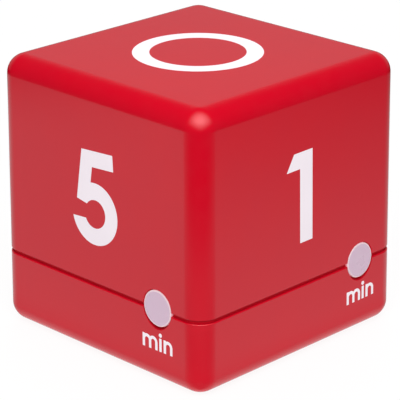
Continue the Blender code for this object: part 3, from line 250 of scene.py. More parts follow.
def face_place(index):
    """The leaning face of side number index: X to the right, Y up the face, Z out of it."""
    return side_turn(index) @ at(0, -HALF) @ Matrix.Rotation(pi / 2 - TILT, 4, "X")


def join_rows(builder, first, second, zone=0):
    count = max(len(first), len(second))
    for step in range(count):
        after = (step + 1) % count
        corners = (
            first[step % len(first)],
            first[after % len(first)],
            second[after % len(second)],
            second[step % len(second)],
        )
        builder.faces.new(list(dict.fromkeys(corners))).material_index = zone


def add_loft(builder, rows, zones=None):
    """Rows of points joined one to the next, closed by a face at each end that isn't a point."""
    for first, second, zone in zip(rows, rows[1:], zones or [0] * len(rows)):
        join_rows(builder, first, second, zone)
    for row in (rows[0], rows[-1]):
        if len(row) > 1:
            builder.faces.new(row)


def add_turned(builder, profile, place, steps, zones=None):
    """A profile of (radius, height) turned about Z. Zones give each band its material's number."""
    rows = []
    for radius, height in profile:
        row = []
        for step in range(steps if radius else 1):
            angle = 2 * pi * (step + 0.5) / steps
            point = Vector((radius * cos(angle), radius * sin(angle), height))
            row.append(builder.verts.new(place @ point))
        rows.append(row)
    add_loft(builder, rows, zones)


def add_rod(builder, radius, low, high, place):
    add_turned(builder, ((radius, low), (radius, high)), place, 48)


def add_block(builder, low, high):
    corners = product((low[2], high[2]), (low[1], high[1]), (low[0], high[0]))
    points = [builder.verts.new((x, y, z)) for z, y, x in corners]
    for face in ((0, 2, 3, 1), (4, 5, 7, 6), (0, 1, 5, 4), (2, 6, 7, 3), (0, 4, 6, 2), (1, 3, 7, 5)):
        builder.faces.new([points[index] for index in face])


def add_outline(builder, outline, low, high, place):
    rows = [[builder.verts.new(place @ Vector((x, y, z))) for x, y in outline] for z in (low, high)]
    add_loft(builder, rows)


def rounded_row(builder, half_x, half_y, corner, z, centre=(0, 0), steps=16):
    row = []
    for number, (sign_x, sign_y) in enumerate(((1, 1), (-1, 1), (-1, -1), (1, -1))):
        for step in range(steps + 1):
            angle = pi / 2 * (number + step / steps)
            x = centre[0] + sign_x * (half_x - corner) + corner * cos(angle)
            y = centre[1] + sign_y * (half_y - corner) + corner * sin(angle)
            row.append(builder.verts.new((x, y, z)))
    return row


def add_plate(builder, low, high, corner, edge):
    """A plate between two corners, its upright edges and its rims rounded."""
    centre = ((low[0] + high[0]) / 2, (low[1] + high[1]) / 2)
    half_x, half_y = (high[0] - low[0]) / 2, (high[1] - low[1]) / 2
    edge_steps, corner_steps = 6, 8
    levels = [(edge * (1 - sin(a)), low[2] + edge * (1 - cos(a))) for a in quarter(edge_steps)]
    levels += [(inset, low[2] + high[2] - z) for inset, z in reversed(levels)]
    rows = []
    for inset, z in levels:
        sizes = (half_x - inset, half_y - inset, corner - inset)
        rows.append(rounded_row(builder, *sizes, z, centre, corner_steps))
    add_loft(builder, rows)


def display_plate(half, low, high, corner, edge):
    """A plate in the middle of the display."""
    first = (DISPLAY_X - half[0], DISPLAY_Y - half[1], low)
    second = (DISPLAY_X + half[0], DISPLAY_Y + half[1], high)
    return built(add_plate, first, second, corner, edge)


def linked(name, data):
    """A new object in the scene."""
    obj = bpy.data.objects.new(name, data)
    bpy.context.scene.collection.objects.link(obj)
    return obj


def mesh_from(builder, name, looks=(), outwards=True):
    """The mesh of a builder, which is used up. Looks are the names of its finishes."""
    if outwards:
        bmesh.ops.recalc_face_normals(builder, faces=builder.faces)
    else:
        builder.normal_update()
    mesh = bpy.data.meshes.new(name)
    builder.to_mesh(mesh)
    builder.free()
    for look in looks:
        mesh.materials.append(MATERIALS[look])
    return mesh


def carved(builder, joins, cuts, looks=()):
    """The mesh of a shape, once others have been joined to it and then cut out of it."""
    target = linked("scratch", mesh_from(builder, "scratch", looks))
    others = []
    for number, shape in enumerate([*joins, *cuts]):
        other = linked("scratch", mesh_from(shape, "scratch"))
        modifier = target.modifiers.new("carve", "BOOLEAN")
        modifier.object = other
        modifier.operation = "UNION" if number < len(joins) else "DIFFERENCE"
        modifier.solver = "EXACT"
        others.append(other)
    evaluated = target.evaluated_get(bpy.context.evaluated_depsgraph_get())
    mesh = bpy.data.meshes.new_from_object(evaluated)
    for obj in [target, *others]:
        bpy.data.objects.remove(obj, do_unlink=True)
    return mesh


def piece(name, shape, body, slot, replaces=(), looks=None, sharp=35):
    """A visible piece on a body, from a builder in millimetres or from a mesh with its finishes."""
    carved_before = isinstance(shape, bpy.types.Mesh)
    mesh = shape if carved_before else mesh_from(shape, name, looks or [slot])
    mesh.name = name
    mesh.transform(Matrix.Scale(MM, 4))
    mesh.shade_smooth()
    mesh.set_sharp_from_angle(angle=radians(sharp))
    obj = linked(name, mesh)
    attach(obj, body)
    if replaces:
        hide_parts(*replaces)
    return obj


# Materials

# Most of what a noise gives lies between these
NOISE_LOW = 0.3
NOISE_HIGH = 0.7
PATCHES = 120.0
GLOSS_PATCHES = 324.0


class Nodes:
    """Adds nodes to a material or world and links them."""

    def __init__(self, tree):
        self.tree = tree
        self.tree.nodes.clear()

    def add(self, kind, settings=None, **inputs):
        """A node with these settings. An underscore in an input's name stands for its space."""
        made = self.tree.nodes.new(f"ShaderNode{kind}")
        for key, value in (settings or {}).items():
            setattr(made, key, value)
        for key, value in inputs.items():
            self.put(made.inputs[key.replace("_", " ")], value)
        return made

    def put(self, socket, value):
        if isinstance(value, bpy.types.NodeSocket):
            self.tree.links.new(value, socket)
        else:
            socket.default_value = value

    def fill(self, made, values):
        for socket, value in zip(made.inputs, values):
            self.put(socket, value)
        return made

    def finish(self, shader, kind="OutputMaterial"):
        self.put(self.add(kind).inputs["Surface"], shader)

    def principled(self, colour, roughness, normal, **constants):
        inputs = {"Base_Color": colour, "Roughness": roughness, "Normal": normal, **constants}
        self.finish(self.add("BsdfPrincipled", **inputs).outputs["BSDF"])

    def math(self, operation, *values):
        made = self.add("Math", {"operation": operation})
        return self.fill(made, values).outputs[0]

    def vector(self, operation, *values, result="Vector"):
        made = self.add("VectorMath", {"operation": operation})
        return self.fill(made, values).outputs[result]

    def length(self, vector):
        return self.vector("LENGTH", vector, result="Value")

    def dot(self, first, second):
        return self.vector("DOT_PRODUCT", first, second, result="Value")

    def ramp(self, value, low, high, start=0.0, end=1.0):
        """A smooth step from start to end while value goes from low to high."""
        made = self.add("MapRange", {"interpolation_type": "SMOOTHSTEP"}, Value=value)
        for key, number in {"From Min": low, "From Max": high, "To Min": start, "To Max": end}.items():
            made.inputs[key].default_value = number
        return made.outputs["Result"]

    def mix(self, factor, first, second):
        made = self.add("Mix", {"data_type": "RGBA"}, Factor=factor)
        for key, colour in (("A", first), ("B", second)):
            self.put(made.inputs[key], colour if isinstance(colour, bpy.types.NodeSocket) else (*colour, 1))
        return made.outputs["Result"]

    def place(self):
        return self.add("TexCoord").outputs["Object"]

    def noise(self, scale, detail=2.0, roughness=0.5):
        settings = {"Scale": scale, "Detail": detail, "Roughness": roughness}
        return self.add("TexNoise", Vector=self.place(), **settings).outputs["Fac"]

    def drift(self, noise, start=0.0, end=1.0):
        return self.ramp(noise, NOISE_LOW, NOISE_HIGH, start, end)

    def bump(self, height, strength, distance):
        made = self.add("Bump", Strength=strength, Distance=distance, Height=height)
        return made.outputs["Normal"]


def new_material(name, colour=(0.8, 0.8, 0.8)):
    made = bpy.data.materials.new(name)
    made.use_nodes = True
    made.diffuse_color = (*colour, 1)
    return made, Nodes(made.node_tree)


def surface(name, colour, other, gloss, grain, **constants):
    """A material whose colour and gloss drift a little, with a fine grain as bump."""
    made, nodes = new_material(name, colour)
    roughness, spread = gloss
    scale, height = grain
    patches = nodes.drift(nodes.noise(PATCHES, 3.0))
    wear = nodes.drift(nodes.noise(GLOSS_PATCHES, 4.0), roughness - spread, roughness + spread)
    bump = nodes.bump(nodes.noise(scale, 3.0, 0.6), 0.5, height)
    nodes.principled(nodes.mix(patches, colour, other), wear, bump, **constants)
    return made


def board_material(name):
    """Solder mask over runs of copper that turn from patch to patch."""
    made, nodes = new_material(name, (0.02, 0.18, 0.08))
    mask, other_mask, over_copper = (0.010, 0.13, 0.055), (0.014, 0.15, 0.065), (0.035, 0.27, 0.12)
    patch_scale, run_scale, copper_height = 170.0, 900.0, 3e-5
    place = nodes.place()
    patches = nodes.add("TexVoronoi", {"distance": "CHEBYCHEV"}, Vector=place, Scale=patch_scale)
    parts = nodes.add("SeparateXYZ", Vector=place).outputs
    chosen = nodes.add("SeparateColor", Color=patches.outputs["Color"]).outputs
    runs = []
    for axis in ("X", "Y"):
        wave = nodes.math("PINGPONG", nodes.math("MULTIPLY", parts[axis], run_scale), 0.5)
        runs.append(nodes.ramp(wave, 0.16, 0.22))
    turned = nodes.ramp(chosen["Red"], 0.49, 0.51)
    run = nodes.math("MULTIPLY_ADD", turned, nodes.math("SUBTRACT", runs[1], runs[0]), runs[0])
    copper = nodes.math("MULTIPLY", run, nodes.ramp(chosen["Green"], 0.3, 0.32))
    colour = nodes.mix(nodes.noise(300.0), mask, other_mask)
    wear = nodes.drift(nodes.noise(700.0), 0.28, 0.38)
    nodes.principled(nodes.mix(copper, colour, over_copper), wear, nodes.bump(copper, 0.6, copper_height))
    return made


def lined_material(name, colour, line, pitch, roughness):
    """Bands of two colours across X, as on a flat cable or a striped connector."""
    made, nodes = new_material(name, colour)
    spread, line_height = 0.05, 2e-5
    parts = nodes.add("SeparateXYZ", Vector=nodes.place()).outputs
    wave = nodes.math("PINGPONG", nodes.math("DIVIDE", parts["X"], pitch), 0.5)
    band = nodes.ramp(wave, 0.22, 0.28)
    wear = nodes.drift(nodes.noise(900.0), roughness - spread, roughness + spread)
    nodes.principled(nodes.mix(band, colour, line), wear, nodes.bump(band, 0.4, line_height))
    return made


def make_materials():
    """Every finish by its slot's name.

    A finish has two colours, its roughness and how far that strays, and its grain's scale and height.
    """
    found = {"green_board": board_material("green_board")}

    def add(name, *look, make=surface, **constants):
        found[name] = make(name, *look, **constants)

    add("striped_rubber", (0.62, 0.40, 0.38), (0.10, 0.08, 0.08), 0.0005, 0.60, make=lined_material)
    add("ribbon_film", (0.70, 0.66, 0.56), (0.45, 0.36, 0.20), 0.0008, 0.40, make=lined_material)
    dull, dull_grain = (0.55, 0.05), (9000, 6e-6)
    sunken = {"Specular_IOR_Level": 0.15}
    add("red_case", (0.575, 0.0005, 0.0128), (0.565, 0.0008, 0.0138), (0.17, 0.02), (9000, 4e-6))
    # A dull copy of the case red, a little lighter: painted light that lifts the shade on the groove's
    # walls and the upper shell's lens holes.
    add("red_recess", (0.63, 0.002, 0.015), (0.61, 0.002, 0.015), dull, dull_grain, **sunken)
    # A dull copy of the case red, darker: painted shade on the rim's last step, the ledge under the groove
    # and the base's lens holes.
    add("red_ledge", (0.47, 0.002, 0.012), (0.45, 0.002, 0.012), dull, dull_grain, **sunken)
    add("white_ink", (0.96, 0.87, 0.93), (0.94, 0.85, 0.91), (0.45, 0.04), (14000, 4e-6))
    milk = {"Subsurface_Weight": 0.7, "Subsurface_Radius": (1.0, 0.75, 0.85), "Subsurface_Scale": 0.0012}
    # The lens wall's faint red emission is a painted glow: the lens is no lamp.
    painted_glow = {"Emission_Color": (1.0, 0.12, 0.16, 1), "Emission_Strength": 0.25}
    satin, satin_grain = (0.30, 0.04), (5000, 3e-6)
    add("milky_lens", (0.690, 0.512, 0.632), (0.670, 0.495, 0.612), satin, satin_grain, **milk)
    # Paler than the lens: a painted highlight on the lens's rounded edge.
    add("lens_rim", (0.90, 0.66, 0.72), (0.88, 0.64, 0.70), satin, satin_grain, **milk)
    add("lens_wall", (0.92, 0.64, 0.70), (0.90, 0.62, 0.68), satin, satin_grain, **milk, **painted_glow)
    add("led_epoxy", (0.80, 0.76, 0.70), (0.74, 0.70, 0.62), (0.15, 0.03), (3000, 3e-6))
    add("nickel", (0.72, 0.70, 0.66), (0.62, 0.60, 0.56), (0.28, 0.08), (9000, 3e-6), Metallic=1.0)
    add("steel", (0.62, 0.62, 0.64), (0.55, 0.55, 0.56), (0.30, 0.08), (7000, 3e-6), Metallic=1.0)
    add("black_plastic", (0.02, 0.02, 0.022), (0.03, 0.03, 0.032), (0.45, 0.05), (9000, 6e-6))
    add("black_resin", (0.015, 0.015, 0.016), (0.02, 0.02, 0.02), (0.25, 0.06), (2500, 8e-6))
    add("capacitor_sleeve", (0.03, 0.05, 0.14), (0.04, 0.06, 0.16), (0.30, 0.05), (3000, 5e-6))
    add("cell_label", (0.05, 0.05, 0.055), (0.06, 0.06, 0.065), (0.28, 0.04), (3000, 4e-6))
    add("cell_band", (0.52, 0.53, 0.55), (0.48, 0.49, 0.51), (0.25, 0.04), (3000, 4e-6), Metallic=0.6)
    add("foam", (0.10, 0.10, 0.11), (0.06, 0.06, 0.07), (0.90, 0.05), (4000, 8e-5))
    add("display_glass", (0.33, 0.37, 0.30), (0.31, 0.35, 0.28), (0.12, 0.02), (20000, 1e-6))
    add("display_segment", (0.245, 0.28, 0.225), (0.235, 0.27, 0.215), (0.20, 0.02), (20000, 1e-6))
    clear = {"Transmission_Weight": 1.0, "IOR": 1.49}
    add("display_window", (0.95, 0.97, 0.97), (0.93, 0.95, 0.95), (0.05, 0.02), (3000, 1e-6), **clear)
    return found


MATERIALS = make_materials()


# Shells

# Zones of the shells: the case red, the lighter dull red of painted light, and the darker dull red of
# painted shade.
SKIN, PAINTED_LIGHT, PAINTED_SHADE = range(3)


def edge_levels(half, corner, radius, end, sign, steps=14):
    """A fillet from a side to a flat end, which is at the top where sign is 1."""
    levels = []
    for angle in quarter(steps):
        inset = radius * (1 - cos(angle))
        levels.append((half - inset, corner - inset, end - sign * radius * (1 - sin(angle))))
    return levels


def rim_levels(rim, sign, radius):
    """The rounded rim of a shell, from its flat end to its side. Sign is 1 where the shell lies above."""
    levels = []
    for angle in quarter(ROUND_STEPS):
        inset = radius * (1 - sin(angle))
        z = rim + sign * radius * (1 - cos(angle))
        levels.append((half_at(z) - inset, UPRIGHT - inset, z))
    return levels


def shell_builder(levels, zones=None):
    builder = bmesh.new()
    rows = [rounded_row(builder, half, half, corner, z) for half, corner, z in levels]
    add_loft(builder, rows, zones)
    return builder


def lens_cutters(zone):
    """Each hole fits its lens closely, but for a shallow gap that grows below the lens."""
    builder = bmesh.new()
    face = half_at(SEAM)
    for index, ((x, z, radius), shift) in enumerate(zip(LENSES, HOLE_SHIFTS)):
        hole = radius + HOLE_GAP
        inner = ((hole - HOLE_STEP, INNER_HALF - OVERRUN), (hole - HOLE_STEP, face - HOLE_DEPTH))
        gap = (
            (hole, face - HOLE_DEPTH),
            (hole, face - HOLE_CHAMFER),
            (hole + HOLE_CHAMFER + OVERRUN, face + OVERRUN),
        )
        profile = inner + gap
        place = outward(index) @ at(x + shift, z)
        add_turned(builder, profile, place, LENS_STEPS, zones=[zone] * len(profile))
        for vert in list(builder.verts)[-len(gap) * LENS_STEPS :]:
            vert.co.z -= HOLE_DROP * (min(vert.co.z - z, 0) / hole) ** 2
    return builder


def skin_normals(obj):
    """Exact normals on the outer skin of a shell, so that flat faces stay flat up to their fillets."""
    mesh = obj.data
    points = np.empty(len(mesh.vertices) * 3)
    mesh.vertices.foreach_get("co", points)
    x, y, z = (points.reshape(-1, 3) / MM).T
    core = HALF - DRAFT * np.clip(z, FLAT, HEIGHT - FLAT) / HEIGHT - UPRIGHT
    across = np.stack([np.sign(one) * np.maximum(abs(one) - core, 0) for one in (x, y)], 1)
    out = np.hypot(*across.T)
    lift = np.full(len(z), TILT)
    reach = np.full(len(z), UPRIGHT)
    upper, base = UPPER_RIM + UPPER_ROUND, BASE_RIM - BASE_ROUND
    for inside, middle, radius in (
        (z > HEIGHT - FLAT, HEIGHT - FLAT, FLAT),
        (z < FLAT, FLAT, FLAT),
        ((z > UPPER_RIM - NEAR) & (z < upper), upper, UPPER_ROUND),
        ((z > base) & (z < BASE_RIM + NEAR), base, BASE_ROUND),
    ):
        angle = np.arcsin(np.clip((z - middle) / radius, -1, 1))
        lift = np.where(inside, angle, lift)
        reach = np.where(inside, UPRIGHT - radius * (1 - np.cos(angle)), reach)
    ends = (abs(z) < NEAR / 10) | (abs(z - HEIGHT) < NEAR / 10)
    on_skin = ends | (abs(out - reach) < 3 * NEAR)
    level = across / np.maximum(out, 1e-9)[:, None]
    exact = np.column_stack([level * np.cos(lift)[:, None], np.sin(lift)])
    exact[ends] = [(0.0, 0.0, 1.0 if height > FLAT else -1.0) for height in z[ends]]
    owner = np.empty(len(mesh.loops), int)
    mesh.loops.foreach_get("vertex_index", owner)
    facing = np.empty((len(mesh.loops), 3))
    for polygon in mesh.polygons:
        facing[polygon.loop_start : polygon.loop_start + polygon.loop_total] = polygon.normal
    normals = exact[owner]
    agree = (normals * facing).sum(1) > 0.9
    normals[~(on_skin[owner] & agree)] = 0.0
    mesh.normals_split_custom_set(normals.tolist())


def upper_shell(pockets):
    inner_corner = UPRIGHT - WALL
    side_top = half_at(HEIGHT - FLAT)
    levels = edge_levels(side_top - WALL, inner_corner, INNER_TOP, HEIGHT - WALL, 1, 6)[::-1]
    levels += [
        (half_at(STEP_HEIGHT) - WALL, inner_corner, STEP_HEIGHT),
        (half_at(STEP_HEIGHT) - LIP, UPRIGHT - LIP, STEP_HEIGHT),
        (half_at(UPPER_RIM) - LIP, UPRIGHT - LIP, UPPER_RIM),
    ]
    levels += rim_levels(UPPER_RIM, 1, UPPER_ROUND)
    levels += edge_levels(side_top, UPRIGHT, FLAT, HEIGHT, 1)
    posts = bmesh.new()
    pilots = bmesh.new()
    for place in places(CASE_SCREWS):
        add_rod(posts, POST_R, BOSS_TOP + FIT, HEIGHT - WALL + ROOT, place)
        add_rod(pilots, PILOT_R, BOSS_TOP + FIT - OVERRUN, PILOT_TOP, place)
    # The lens holes' walls take the lighter dull red, painted light.
    looks = ("red_case", "red_recess")
    shape = carved(shell_builder(levels), [posts], [pilots, lens_cutters(PAINTED_LIGHT), pockets], looks)
    skin_normals(piece("upper_shell_skin", shape, "case", "red_case", ["upper_shell"]))


def base_posts():
    builder = bmesh.new()
    for spots, radius, top in (
        (CASE_SCREWS, BOSS_R, BOSS_TOP),
        (BOARD_SCREWS, BOARD_POST_R, BOARD_BOTTOM - SEAT),
        (DISPLAY_SCREWS, DISPLAY_POST_R, DISPLAY_POST_TOP),
    ):
        for place in places(spots):
            add_rod(builder, radius, FLOOR - ROOT, top, place)
    return builder


def door_cutters():
    """The space for the cells, the doorway, the notch for its lip, and the slots for tags and tabs."""
    cells = built(add_block, (-WELL_HALF, WELL_FRONT, -OVERRUN), (WELL_HALF, WELL_BACK, WELL_CEILING))
    low, high = WELL_FRONT - DOORWAY_EDGE, WELL_BACK + DOORWAY_EDGE
    doorway = built(add_block, (-DOORWAY_HALF, low, -OVERRUN), (DOORWAY_HALF, high, FLOOR))
    first = (DOORWAY_HALF - OVERRUN, WELL_MIDDLE - NOTCH_HALF, -OVERRUN)
    second = (DOORWAY_HALF + LIP_REACH + 0.1, WELL_MIDDLE + NOTCH_HALF, FLOOR)
    notch = built(add_plate, first, second, 0.6, NEAR)
    slots = bmesh.new()
    for y in (CELL_FRONT, CELL_BACK):
        low = (-WELL_HALF, y - TAG_HALF, WELL_CEILING - OVERRUN)
        add_block(slots, low, (-WELL_HALF + TAG_SLOT, y + TAG_HALF, WELL_TOP + OVERRUN))
        low = (-WELL_HALF - WELL_WALL - OVERRUN, y - TAB_HALF - FIT, FLOOR)
        add_block(slots, low, (-WELL_HALF + OVERRUN, y + TAB_HALF + FIT, TAB_TOP + 0.8))
    return cells, doorway, notch, slots


def hole_cutters():
    """The screw holes and the sound holes."""
    builder = bmesh.new()
    head_hole = ((HEAD_HOLE_R + FIT, -FIT), (HEAD_HOLE_R, 0.0), (HEAD_HOLE_R, HEAD_HOLE_DEPTH))
    screw_hole = ((SCREW_HOLE_R, HEAD_HOLE_DEPTH), (SCREW_HOLE_R, BOSS_TOP + OVERRUN))
    sound_hole = ((SOUND_HOLE_R + FIT, -0.2), (SOUND_HOLE_R, 0.1), (SOUND_HOLE_R, FLOOR + OVERRUN))
    board_pilot = ((1.1, 9.1), (1.1, BOARD_BOTTOM))
    display_pilot = ((0.9, 2.4), (0.9, DISPLAY_POST_TOP + SEAT))
    middle = (BUZZER_X, DISPLAY_Y)
    sound_spots = [*arc(SOUND_RING, 0, 300, middle, 5), middle]
    for spots, profile, steps in (
        (places(CASE_SCREWS), head_hole + screw_hole, 64),
        (places(BOARD_SCREWS), board_pilot, 32),
        (places(DISPLAY_SCREWS), display_pilot, 32),
        ([at(*spot) for spot in sound_spots], sound_hole, 40),
    ):
        for place in spots:
            add_turned(builder, profile, place, steps)
    return builder


def base_cuts():
    pane = [half + SEAT for half in WINDOW_HALF]
    opening = [half - WINDOW_LEDGE for half in WINDOW_HALF]
    window = display_plate(pane, -OVERRUN, 1.3, 1.0, NEAR)
    through = display_plate(opening, -0.5, FLOOR + OVERRUN, 0.8, NEAR)
    # The base's lens holes take the darker dull red, painted shade below each lens.
    return [*door_cutters(), hole_cutters(), window, through, lens_cutters(PAINTED_SHADE)]


def base_shell():
    """The rim's last step and the ledge behind it are duller than the side and darker, a painted shade; the
    groove's walls are as dull and a little lighter, painted light on their shade.
    """
    inner_corner = UPRIGHT - WALL
    tongue = half_at(BASE_RIM) - LIP - LIP_GAP
    tongue_corner = UPRIGHT - LIP - LIP_GAP
    levels = edge_levels(half_at(FLAT), UPRIGHT, FLAT, 0, -1)[::-1]
    levels += rim_levels(BASE_RIM, -1, BASE_ROUND)[::-1]
    zones = [SKIN] * (len(levels) - 2) + [PAINTED_SHADE] * 2 + [PAINTED_LIGHT] * 3 + [SKIN] * 2
    levels += [
        (half_at(BASE_RIM) - REVEAL, UPRIGHT - REVEAL, BASE_RIM),
        (half_at(BASE_RIM) - REVEAL, UPRIGHT - REVEAL, LIP_BOTTOM),
        (tongue, tongue_corner, LIP_BOTTOM),
        (tongue, tongue_corner, TONGUE_TOP),
        (INNER_HALF - DRAFT, inner_corner, TONGUE_TOP),
        (INNER_HALF - DRAFT, inner_corner, FLOOR),
    ]
    reach = WELL_HALF + WELL_WALL
    low, high = WELL_FRONT - WELL_WALL, WELL_BACK + WELL_WALL
    well = built(add_block, (-reach, low, FLOOR - ROOT), (reach, high, WELL_TOP))
    looks = ("red_case", "red_recess", "red_ledge")
    shape = carved(shell_builder(levels, zones), [well, base_posts()], base_cuts(), looks)
    skin_normals(piece("base_shell_skin", shape, "case", "red_case", ["base_shell"]))


# Prints


def arc(radius, start, end, centre=(0, 0), steps=64):
    points = []
    for step in range(steps + 1):
        angle = radians(start + (end - start) * step / steps)
        points.append((centre[0] + radius * cos(angle), centre[1] + radius * sin(angle)))
    return points


def disc(radius, centre):
    return arc(radius, 0, -345, centre, 23)


def oval_arc(long, short, start, end, centre=(0, 0)):
    """An arc of an oval whose long axis leans 45 degrees to the right."""
    points = []
    for x, y in arc(1, start - 45, end - 45):
        x, y = x * long, y * short
        points.append((centre[0] + (x - y) * sqrt(0.5), centre[1] + (x + y) * sqrt(0.5)))
    return points


def five_outline():
    """The numeral 5 about its bowl's centre, clockwise from the top left."""
    points = [(-2.97, 14.28), (6.70, 14.28), (6.70, 10.63), (0.02, 10.63)]
    points += oval_arc(7.23, 6.98, 97, -170)
    points += oval_arc(3.33, 3.16, -157.3, 139.7, (0.07, -0.02))
    points.append((-5.47, 2.79))
    return points


def one_outline():
    """The numeral 1 from the foot of its stem's right edge, clockwise."""
    stem, flag = 3.93, 17.07
    return [(0, 0), (-stem, 0), (-stem, flag), (-ONE_WIDTH, flag), (-5.80, ONE_HEIGHT), (0, ONE_HEIGHT)]


def grown(outline, gap):
    """The outline, which runs clockwise, with each of its edges moved outwards."""
    points = [Vector(point) for point in outline]
    moved = []
    for before, point, after in zip(points[-1:] + points, points, points[1:] + points[:1]):
        arriving = (point - before).normalized()
        leaving = (after - point).normalized()
        corner = Vector((-arriving.y - leaving.y, arriving.x + leaving.x))
        moved.append(point + corner * (2 * gap / corner.length_squared))
    return moved


def add_oval_ring(builder, half_x, half_y, stroke, low, high, place, gap=0.0):
    steps = 160
    angles = [2 * pi * step / steps for step in range(steps)]
    rows = []
    for z, inset in product((low, high), (-gap, stroke + gap)):
        x, y = half_x - inset, half_y - inset
        rows.append([builder.verts.new(place @ Vector((x * cos(a), y * sin(a), z))) for a in angles])
    for first, second in ((0, 1), (1, 3), (3, 2), (2, 0)):
        join_rows(builder, rows[first], rows[second])


def ink(name, builder, replaces=()):
    piece(name, builder, "case", "white_ink", replaces, sharp=20)


def printed_digit(name, outline, place, pockets):
    add_outline(pockets, grown(outline, INK_GAP), -INK_DEPTH - INK_GAP, OVERRUN, place)
    ink(f"ink_{name}", built(add_outline, outline, -INK_DEPTH, 0, place), [f"numeral_{name}"])


def printed_oval(node, half_x, half_y, stroke, place, pockets):
    size = (half_x, half_y, stroke)
    add_oval_ring(pockets, *size, -INK_DEPTH - INK_GAP, OVERRUN, place, INK_GAP)
    shape = built(add_oval_ring, *size, -INK_DEPTH, 0, place)
    ink(f"ink_{node.removeprefix('numeral_')}", shape, [node])


def numerals(pockets):
    """5 in front, 1 on the right, 15 behind, 10 on the left, and the ring on top."""
    front, right, back, left = (face_place(index) for index in range(4))
    five, one = five_outline(), one_outline()
    printed_digit("five", five, front @ at(FIVE_X, FIVE_CENTRE) @ turn(FIVE_LEAN, "Z"), pockets)
    printed_digit("one", one, right @ at(ONE_X, ONE_FOOT) @ turn(ONE_LEAN, "Z"), pockets)
    five_left = FIVE_BOWL * cos(radians(10))
    one_at = ONE_WIDTH - (ONE_WIDTH + DIGIT_GAP + five_left + FIVE_BOWL) / 2
    printed_digit("fifteen_one", one, back @ at(one_at, ONE_FOOT), pockets)
    printed_digit("fifteen_five", five, back @ at(one_at + DIGIT_GAP + five_left, FIVE_CENTRE), pockets)
    one_at = ONE_WIDTH - (ONE_WIDTH + DIGIT_GAP + ZERO_WIDTH) / 2
    printed_digit("ten_one", one, left @ at(one_at, ONE_FOOT), pockets)
    place = left @ at(one_at + DIGIT_GAP + ZERO_WIDTH / 2, NUMERAL_CENTRE)
    printed_oval("numeral_ten_zero", ZERO_WIDTH / 2, NUMERAL / 2, STROKE, place, pockets)
    printed_oval("off_ring", RING_R, RING_R, RING_STROKE, at(*RING_CENTRE, HEIGHT), pockets)


def arched_letter(counters, width, height, stroke):
    """The outline of an n, or of an m with two counters: stems joined by round arches."""
    inner = width / 2
    outer = inner + stroke
    spring = height - outer
    pitch = width + stroke
    leave = 180 - np.degrees(np.arccos((outer - stroke) / outer))
    meet = np.degrees(np.arccos(pitch / 2 / outer))
    points = [(0, 0), (0, height), (stroke, height)]
    for number in range(counters):
        start = leave if number == 0 else 180 - meet
        end = 0 if number == counters - 1 else meet
        points += arc(outer, start, end, (outer + number * pitch, spring), 20)
    for number in reversed(range(counters)):
        right = (number + 1) * pitch + stroke
        points += [(right, 0), (right - stroke, 0)]
        points += arc(inner, 0, 180, (outer + number * pitch, spring), 20)
    points.append((stroke, 0))
    return points


def unit_marks():
    """The unit under each lens."""
    height, stroke = 3.04, 0.71
    stem_left, letter_n, dot_r, dot_height = 5.1, 6.43, 0.47, 3.76
    stem_right = stem_left + stroke
    stem = [(stem_left, 0), (stem_left, height), (stem_right, height), (stem_right, 0)]
    outlines = (
        (0, arched_letter(2, 1.21, height, stroke)),
        (0, stem),
        (0, disc(dot_r, (stem_left + stroke / 2, dot_height))),
        (letter_n, arched_letter(1, 1.23, height, stroke)),
    )
    for index, (side, spot) in enumerate(zip(SIDES, UNIT_SPOTS)):
        place = face_place(index) @ at(*spot) @ turn(UNIT_LEAN, "Z")
        builder = bmesh.new()
        for shift, outline in outlines:
            add_outline(builder, outline, MARK_LOW, MARK_HIGH, place @ at(shift))
        ink(f"ink_min_{side}", builder)


# Lenses, door, screws and display


def lenses():
    """Each lens is a slightly domed disc with a paler rim, a painted highlight, and a side wall with a
    faint painted glow; it is held by a flange behind the shells.
    """
    body, rim, wall = range(3)
    looks = ("milky_lens", "lens_rim", "lens_wall")
    round_steps, dome_steps = 6, 4
    front = INNER_HALF - 0.6
    back = front - 0.5
    plug_end = back - 0.9
    behind = [(0, plug_end), (LENS_PLUG, plug_end), (LENS_PLUG, back)]
    behind += [(LENS_FLANGE, back), (LENS_FLANGE, front)]
    zones = [body] * len(behind) + [wall] + [rim] * (round_steps + 1) + [body] * dome_steps
    for index, (side, (x, z, radius)) in enumerate(zip(SIDES, LENSES)):
        profile = [*behind, (radius, front)]
        for angle in quarter(round_steps):
            inset, drop = LENS_ROUND * (1 - cos(angle)), LENS_ROUND * (1 - sin(angle))
            profile.append((radius - inset, LENS_FACE - drop))
        for step in range(dome_steps + 1):
            share = 1 - step / dome_steps
            profile.append(((radius - LENS_RIM) * share, LENS_FACE + LENS_DOME * (1 - share * share)))
        shape = built(add_turned, profile, outward(index) @ at(x, z), LENS_STEPS, zones)
        piece(f"lens_body_{side}", shape, "case", "milky_lens", [f"lens_{side}"], looks)


